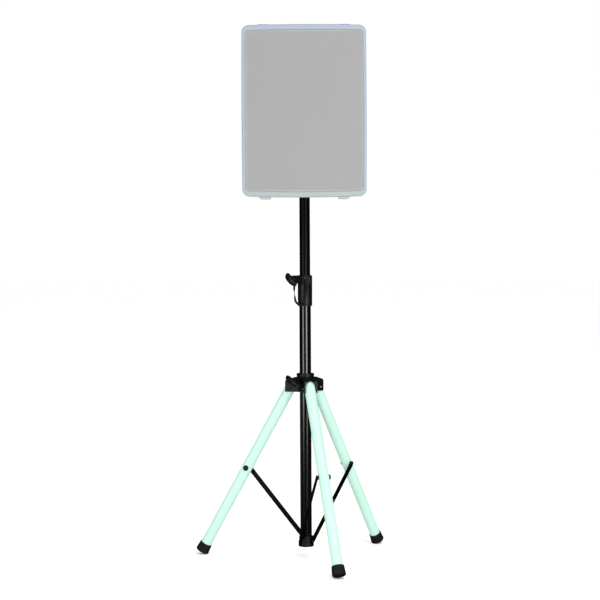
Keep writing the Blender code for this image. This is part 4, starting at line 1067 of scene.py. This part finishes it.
def make_rear_shell():
    """A tapered tub with a rolled back edge; its wall is WALL thick."""
    side, end, corner = BACK_INSET_SIDE, BACK_INSET_END, CABINET_CORNER_R
    front = CABINET_SPLIT_Y + GAP
    depth = CABINET_BACK_Y - CABINET_TAPER_Y
    outer = [ring_at(front, 0.0014, 0.0014), ring_at(front + 0.0016, 0.0014, 0.0014),
             ring_at(front + 0.0024, 0.0004, 0.0004), ring_at(front + 0.0034)]
    for i in range(1, 8):
        t = i / 7
        outer.append(ring_at(front + 0.0034 + (CABINET_TAPER_Y - front - 0.0034) * t,
                             side * t, end * t))
    for i in range(1, 9):
        angle = pi / 2 * i / 8
        roll = 1 - cos(angle)
        outer.append(ring_at(CABINET_TAPER_Y + depth * sin(angle), side + 0.018 * roll,
                             end + 0.015 * roll, corner))
    inner = [ring_at(front, WALL, WALL, corner - WALL),
             ring_at(CABINET_TAPER_Y, side + WALL, end + WALL, corner - WALL),
             ring_at(CABINET_BACK_Y - WALL, side + 0.018 + WALL, end + 0.015 + WALL,
                     corner - WALL)]
    bm = bmesh.new()
    outer = [[bm.verts.new(p) for p in ring] for ring in outer]
    inner = [[bm.verts.new(p) for p in ring] for ring in inner]
    for rows in (outer, inner):
        for lower, upper in zip(rows, rows[1:]):
            bridge(bm, lower, upper)
        bm.faces.new(rows[-1])
    bridge(bm, outer[0], inner[0])
    shell = new_piece("rear_cabinet", bm)
    drill(shell, MAST, POLE_CUP_R + GAP, 1.1, 1.24, sides=SIDES)
    opening = rounded_rectangle(TERMINAL_HALF_WIDTH + GAP, TERMINAL_HALF_HEIGHT + GAP, 0.006)
    place = on_mast(0, 0, TERMINAL_Z)
    carve(shell, prism(opening, 0.1, 0.2, "Y"), place)
    for sign in (-1, 1):
        mouth = rounded_rectangle(HANDLE_HALF_LENGTH + GAP, HANDLE_HALF_HEIGHT + GAP, 0.01)
        carve(shell, prism(mouth, -0.03, 0.03, "X"), handle_frame(sign))
    finish(shell, "speaker", "cabinet_plastic", ["rear_shell"])


def rounded_rectangle(half_a, half_b, corner, steps=6):
    return rounded([(-half_a, -half_b, corner), (half_a, -half_b, corner),
                    (half_a, half_b, corner), (-half_a, half_b, corner)], steps)


def make_front_frame():
    """The front moulding: a rounded rim around the grille, and the baffle behind it."""
    front, back = CABINET_FRONT_Y, CABINET_SPLIT_Y
    recess = back - BAFFLE_THICK
    side, end = GRILLE_RIM_SIDE, GRILLE_RIM_END
    inner_corner = CABINET_CORNER_R - 0.012
    round_r = 0.0046
    rings = [ring_at(back, 0.0014, 0.0014), ring_at(back - 0.001, 0.0004, 0.0004),
             ring_at(back - 0.0018)]
    for i in range(9):
        angle = pi / 2 * i / 8
        inset = round_r * (1 - cos(angle))
        rings.append(ring_at(front + round_r * (1 - sin(angle)), inset, inset,
                             CABINET_CORNER_R - inset * 0.5))
    rings += [ring_at(front, side - 0.0022, end - 0.0022, inner_corner + 0.0016),
              ring_at(front + 0.0004, side - 0.0009, end - 0.0009, inner_corner + 0.0006),
              ring_at(front + 0.0014, side, end, inner_corner),
              ring_at(recess, side, end, inner_corner)]
    panel = new_piece("front_bezel", loft(rings))
    drill(panel, on_mast(0, 0, WOOFER_Z), WOOFER_HOLE_R, -0.2, 0.0, "Y", SIDES)
    carve(panel, slab((-HORN_HALF_WIDTH, -0.2, -HORN_HALF_HEIGHT),
                      (HORN_HALF_WIDTH, 0.0, HORN_HALF_HEIGHT)),
          on_mast(0, 0, HORN_Z))
    for sign in (-1, 1):
        drill(panel, on_mast(sign * PORT_X, 0, PORT_Z), PORT_R, -0.2, 0.0, "Y", 40)
    finish(panel, "speaker", "cabinet_plastic", ["front_frame"])


def make_grille():
    """A steel sheet with six-sided holes in staggered rows, inside a plain border."""
    low, high = span("grille", "y")
    side, end = GRILLE_RIM_SIDE + GAP, GRILLE_RIM_END + GAP
    outline = [Vector(p) for p in cabinet_outline(side, end, CABINET_CORNER_R - 0.0125)]
    centre_z = (CABINET_BOTTOM_Z + CABINET_TOP_Z) / 2
    cell = GRILLE_PITCH / 3 ** 0.5  # centre to corner of a six-sided cell
    margin = 0.0016
    verts, lookup, cells = [], {}, []

    def corner_vert(x, z):
        key = (round(x * 1e5), round(z * 1e5))
        if key not in lookup:
            lookup[key] = len(verts)
            verts.append((x, z))
        return lookup[key]

    columns = int(CABINET_HALF_WIDTH / GRILLE_PITCH) + 1
    rows = int(0.3 / (1.5 * cell)) + 1
    for row in range(-rows, rows + 1):
        for column in range(-columns, columns + 1):
            x = (column + 0.5 * (row % 2)) * GRILLE_PITCH
            z = row * 1.5 * cell
            if not inside_grille(x, z + centre_z, side + margin, end + margin, cell):
                continue
            spokes = [(sin(radians(60 * k)), cos(radians(60 * k))) for k in range(6)]
            ring = [corner_vert(x + cell * a, z + cell * b) for a, b in spokes]
            hole = []
            for a, b in spokes:
                hole.append(len(verts))
                verts.append((x + GRILLE_HOLE * a, z + GRILLE_HOLE * b))
            cells.append((ring, hole))
    uses = {}
    for ring, _ in cells:
        for a, b in zip(ring, ring[1:] + ring[:1]):
            uses[(min(a, b), max(a, b))] = uses.get((min(a, b), max(a, b)), 0) + 1
    loop = border_loop([edge for edge, count in uses.items() if count == 1])
    first = len(verts)
    verts += [(p.x - MAST_X, p.y - centre_z) for p in outline]
    rim = list(range(first, len(verts)))
    flat = [[Vector((*verts[i], 0)) for i in rim], [Vector((*verts[i], 0)) for i in loop]]
    index = rim + loop
    border = [[index[i] for i in triangle] for triangle in tessellate_polygon(flat)]
    count = len(verts)
    points = [(x + MAST_X, y, z + centre_z) for y in (low, high) for x, z in verts]
    faces = border + [[i + count for i in face] for face in border]
    for a, b in zip(rim, rim[1:] + rim[:1]):
        faces.append([a, b, b + count, a + count])
    for ring, hole in cells:
        for k in range(6):
            a, b, c, d = ring[k], ring[(k + 1) % 6], hole[(k + 1) % 6], hole[k]
            faces += [[a, b, c, d], [a + count, b + count, c + count, d + count],
                      [d, c, c + count, d + count]]
    mesh = bpy.data.meshes.new("perforated_grille")
    mesh.from_pydata(points, [], faces)
    bm = bmesh.new()
    bm.from_mesh(mesh)
    bpy.data.meshes.remove(mesh)
    grille = new_piece("perforated_grille", bm)
    finish(grille, "speaker", "grille_steel", ["grille"])


def inside_grille(x, z, side, end, reach):
    """Whether a cell at (x, z) lies inside the outline inset by (side, end)."""
    half = CABINET_HALF_WIDTH - side - reach
    low = CABINET_BOTTOM_Z + end + reach + CABINET_BOTTOM_BOW * (x / CABINET_HALF_WIDTH) ** 2
    high = CABINET_TOP_Z - end - reach - CABINET_TOP_BOW * (x / CABINET_HALF_WIDTH) ** 2
    if abs(x) > half or not low < z < high:
        return False
    corner = 0.012
    over_x = abs(x) - (half - corner)
    over_z = max(low + corner - z, z - (high - corner))
    return over_x <= 0 or over_z <= 0 or hypot(over_x, over_z) <= corner


def border_loop(edges):
    """The vertices of a closed chain of edges, in order."""
    following = {}
    for a, b in edges:
        following.setdefault(a, []).append(b)
        following.setdefault(b, []).append(a)
    start = edges[0][0]
    loop, before, here = [start], None, start
    while True:
        step = next(v for v in following[here] if v != before)
        if step == start:
            return loop
        loop.append(step)
        before, here = here, step


def handle_frame(sign):
    """A frame on a side wall, with X pointing out of the cabinet."""
    run = CABINET_TAPER_Y - CABINET_SPLIT_Y
    half = CABINET_HALF_WIDTH + BACK_INSET_SIDE * CABINET_SPLIT_Y / run
    lean = atan2(BACK_INSET_SIDE, run)
    turn = lean if sign > 0 else pi - lean
    return on_mast(sign * half, 0, HANDLE_Z) @ Matrix.Rotation(turn, 4, "Z")


def make_handles():
    """A cup in each side wall, with a grip across the top of its mouth."""
    length, height, wall, mouth = HANDLE_HALF_LENGTH, HANDLE_HALF_HEIGHT, 0.003, -0.001
    for side, sign in (("left", -1), ("right", 1)):
        place = handle_frame(sign)
        shape = rounded_rectangle(length, height, 0.01)
        cup = new_piece("handle_" + side, prism(shape, -HANDLE_DEPTH, mouth, "X", 0.0006), place)
        well = rounded_rectangle(length - wall, height - wall, 0.0085)
        carve(cup, prism(well, -HANDLE_DEPTH + wall, 0.02, "X"), place)
        grip = rounded([(mouth - 0.015, height - 0.024, 0.006),
                        (mouth - 0.0004, height - 0.024, 0.006),
                        (mouth - 0.0004, height - wall / 2, 0.001),
                        (mouth - 0.015, height - wall / 2, 0.001)])
        carve(cup, prism(grip, -length + wall / 2, length - wall / 2, "Y"), place, "UNION")
        finish(cup, "speaker", "black_plastic", ["handle_cup_" + side])


def make_terminals():
    """A dished plate in the back wall, with two locking sockets."""
    place = on_mast(0, 0, TERMINAL_Z)
    shape = rounded_rectangle(TERMINAL_HALF_WIDTH, TERMINAL_HALF_HEIGHT, 0.006)
    plate = new_piece("terminal_dish", prism(shape, 0.12, CABINET_BACK_Y, "Y", 0.0008), place)
    dish = rounded_rectangle(TERMINAL_HALF_WIDTH - 0.004, TERMINAL_HALF_HEIGHT - 0.004, 0.007)
    carve(plate, prism(dish, 0.123, 0.2, "Y"), place)
    for sign in (-1, 1):
        drill(plate, on_mast(sign * SOCKET_X, 0, TERMINAL_Z), 0.0115, 0.1, 0.13, "Y", 40)
    finish(plate, "speaker", "black_plastic", ["terminal_plate"])
    profile = rounded([
        (0, 0.1, 0), (0.0112, 0.1, 0.0006), (0.0112, 0.1233, 0), (0.015, 0.1233, 0.0004),
        (0.015, 0.1255, 0.001), (0.01, 0.1255, 0.0005), (0.01, 0.106, 0), (0.0052, 0.106, 0),
        (0.0052, 0.1225, 0.0006), (0, 0.1225, 0),
    ])
    for name, sign in (("speaker_socket_1", -1), ("speaker_socket_2", 1)):
        spot = place @ Matrix.Translation((sign * SOCKET_X, 0, 0))
        socket = new_piece("locking_socket_" + name[-1], turned(profile, 48, "Y"), spot)
        for key in range(2):
            notch = slab((0.0085, 0.11, -0.0016), (0.0125, 0.14, 0.0016))
            carve(socket, notch, spot @ Matrix.Rotation(pi * key + 0.6, 4, "Y"))
        finish(socket, "speaker", "black_plastic", [name])


def make_pole_socket():
    low, high = span("pole_socket", "z")
    bore = INNER_R + 0.0004
    top = high - 0.004
    profile = rounded([
        (bore, low, 0.001), (POLE_CUP_R, low, 0.0012), (POLE_CUP_R, low + 0.012, 0.0006),
        (0.0215, low + 0.015, 0.001), (0.0215, high, 0.001), (0, high, 0), (0, top, 0),
        (bore, top, 0),
    ])
    add_turned("pole_cup", profile, MAST, "speaker", "black_plastic", ["pole_socket"])


def wall_height(x, y, middle, bow, end_slope):
    """Height of the cabinet's underside or top, which bows and then tapers towards the back."""
    slope = end_slope / (CABINET_TAPER_Y - CABINET_SPLIT_Y)
    return middle + bow * (x / CABINET_HALF_WIDTH) ** 2 + max(0.0, y - CABINET_SPLIT_Y) * slope


def underside_z(x, y):
    return wall_height(x, y, CABINET_BOTTOM_Z, CABINET_BOTTOM_BOW, BACK_INSET_END)


def topside_z(x, y):
    return wall_height(x, y, CABINET_TOP_Z, -CABINET_TOP_BOW, -BACK_INSET_END)


def swell(x, y, half_x, half_y, soft):
    """From 0 at the edge of a rectangle to 1 inside it, with a soft shoulder."""
    share = 1.0
    for value, half in ((x, half_x), (y, half_y)):
        t = clamped((half - abs(value)) / soft)
        share *= (1 - (1 - t) ** 2) ** 0.5
    return share


def make_swelling(name, x, low_y, high_y, half_x, wall_z, flat_z, soft, across=20, along=40):
    """A pad that swells out of a wall of the cabinet to a flat face."""
    middle_y, half_y = (low_y + high_y) / 2, (high_y - low_y) / 2
    bm = bmesh.new()
    skins = []
    for outer in (True, False):
        skin = []
        for j in range(along + 1):
            row = []
            for i in range(across + 1):
                u = -cos(pi * i / across) * half_x
                v = -cos(pi * j / along) * half_y
                wall = wall_z(x + u, middle_y + v)
                share = swell(u, v, half_x, half_y, soft) if outer else 0.0
                sunk = 0.0 if outer else (0.0006 if flat_z < wall else -0.0006)
                z = wall + (flat_z - wall) * share + sunk
                row.append(bm.verts.new((x + u + MAST_X, middle_y + v + MAST_Y, z)))
            skin.append(row)
        skins.append(skin)
    for skin in skins:
        for near, far in zip(skin, skin[1:]):
            for i in range(across):
                bm.faces.new((near[i], near[i + 1], far[i + 1], far[i]))
    bridge(bm, edge_loop(skins[0]), edge_loop(skins[1]))
    return new_piece(name, bm)


def edge_loop(grid):
    """The outer vertices of a grid, in order."""
    right = [row[-1] for row in grid[1:-1]]
    left = [row[0] for row in reversed(grid[1:-1])]
    return grid[0] + right + list(reversed(grid[-1])) + left


def make_cabinet_feet():
    """Four soft pads below, and two rails above that another cabinet's pads stand on."""
    for side, sign in (("left", -1), ("right", 1)):
        x = sign * CABINET_FOOT_X
        for row, y in (("front", -0.108), ("rear", 0.085)):
            pad = make_swelling(f"pad_{row}_{side}", x, y - 0.016, y + 0.016, 0.0175,
                                underside_z, FOOT_BOTTOM_Z, 0.0022)
            finish(pad, "speaker", "grey_rubber", [f"cabinet_foot_{row}_{side}"], angle=60)
        rail = make_swelling(f"rail_{side}", x, -0.129, 0.105, 0.0235, topside_z, RAIL_TOP_Z,
                             0.012)
        finish(rail, "speaker", "cabinet_plastic", [f"stacking_rail_{side}"], angle=60)


def make_inner_parts():
    """What the cabinet and the legs hold inside keeps its CAD shape and gets a real finish."""
    finishes = {
        "grille_foam": "foam", "woofer_basket": "dark_steel", "woofer_magnet": "dark_steel",
        "woofer_cone": "cone_paper", "dust_cap": "cone_paper", "horn_flare": "black_plastic",
        "compression_driver": "dark_steel", "crossover_board": "circuit_board",
        "inner_tube_guide": "black_plastic", "strap_clip": "steel",
    }
    for side in LEG_AZIMUTH:
        finishes["leg_spine_" + side] = "aluminium"
        finishes["led_strip_" + side] = "led_strip"
    for node, slot in finishes.items():
        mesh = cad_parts[node].data
        mesh.materials.clear()
        mesh.materials.append(LOOKS[slot])


# ---- run

make_camera()
LOOKS = make_materials()
make_strap()
make_floor()
make_tubes()
make_collar()
for knob_values in KNOBS:
    make_knob(*knob_values)
make_pin()
make_leg_hub()
make_pivot_bolts()
make_power_inlet()
make_lower_hub()
for leg_side in LEG_AZIMUTH:
    make_leg(leg_side)
    make_brace(leg_side)
for make in (make_rear_shell, make_front_frame, make_grille, make_handles, make_terminals,
             make_pole_socket, make_cabinet_feet, make_inner_parts, make_world, make_lights):
    make()
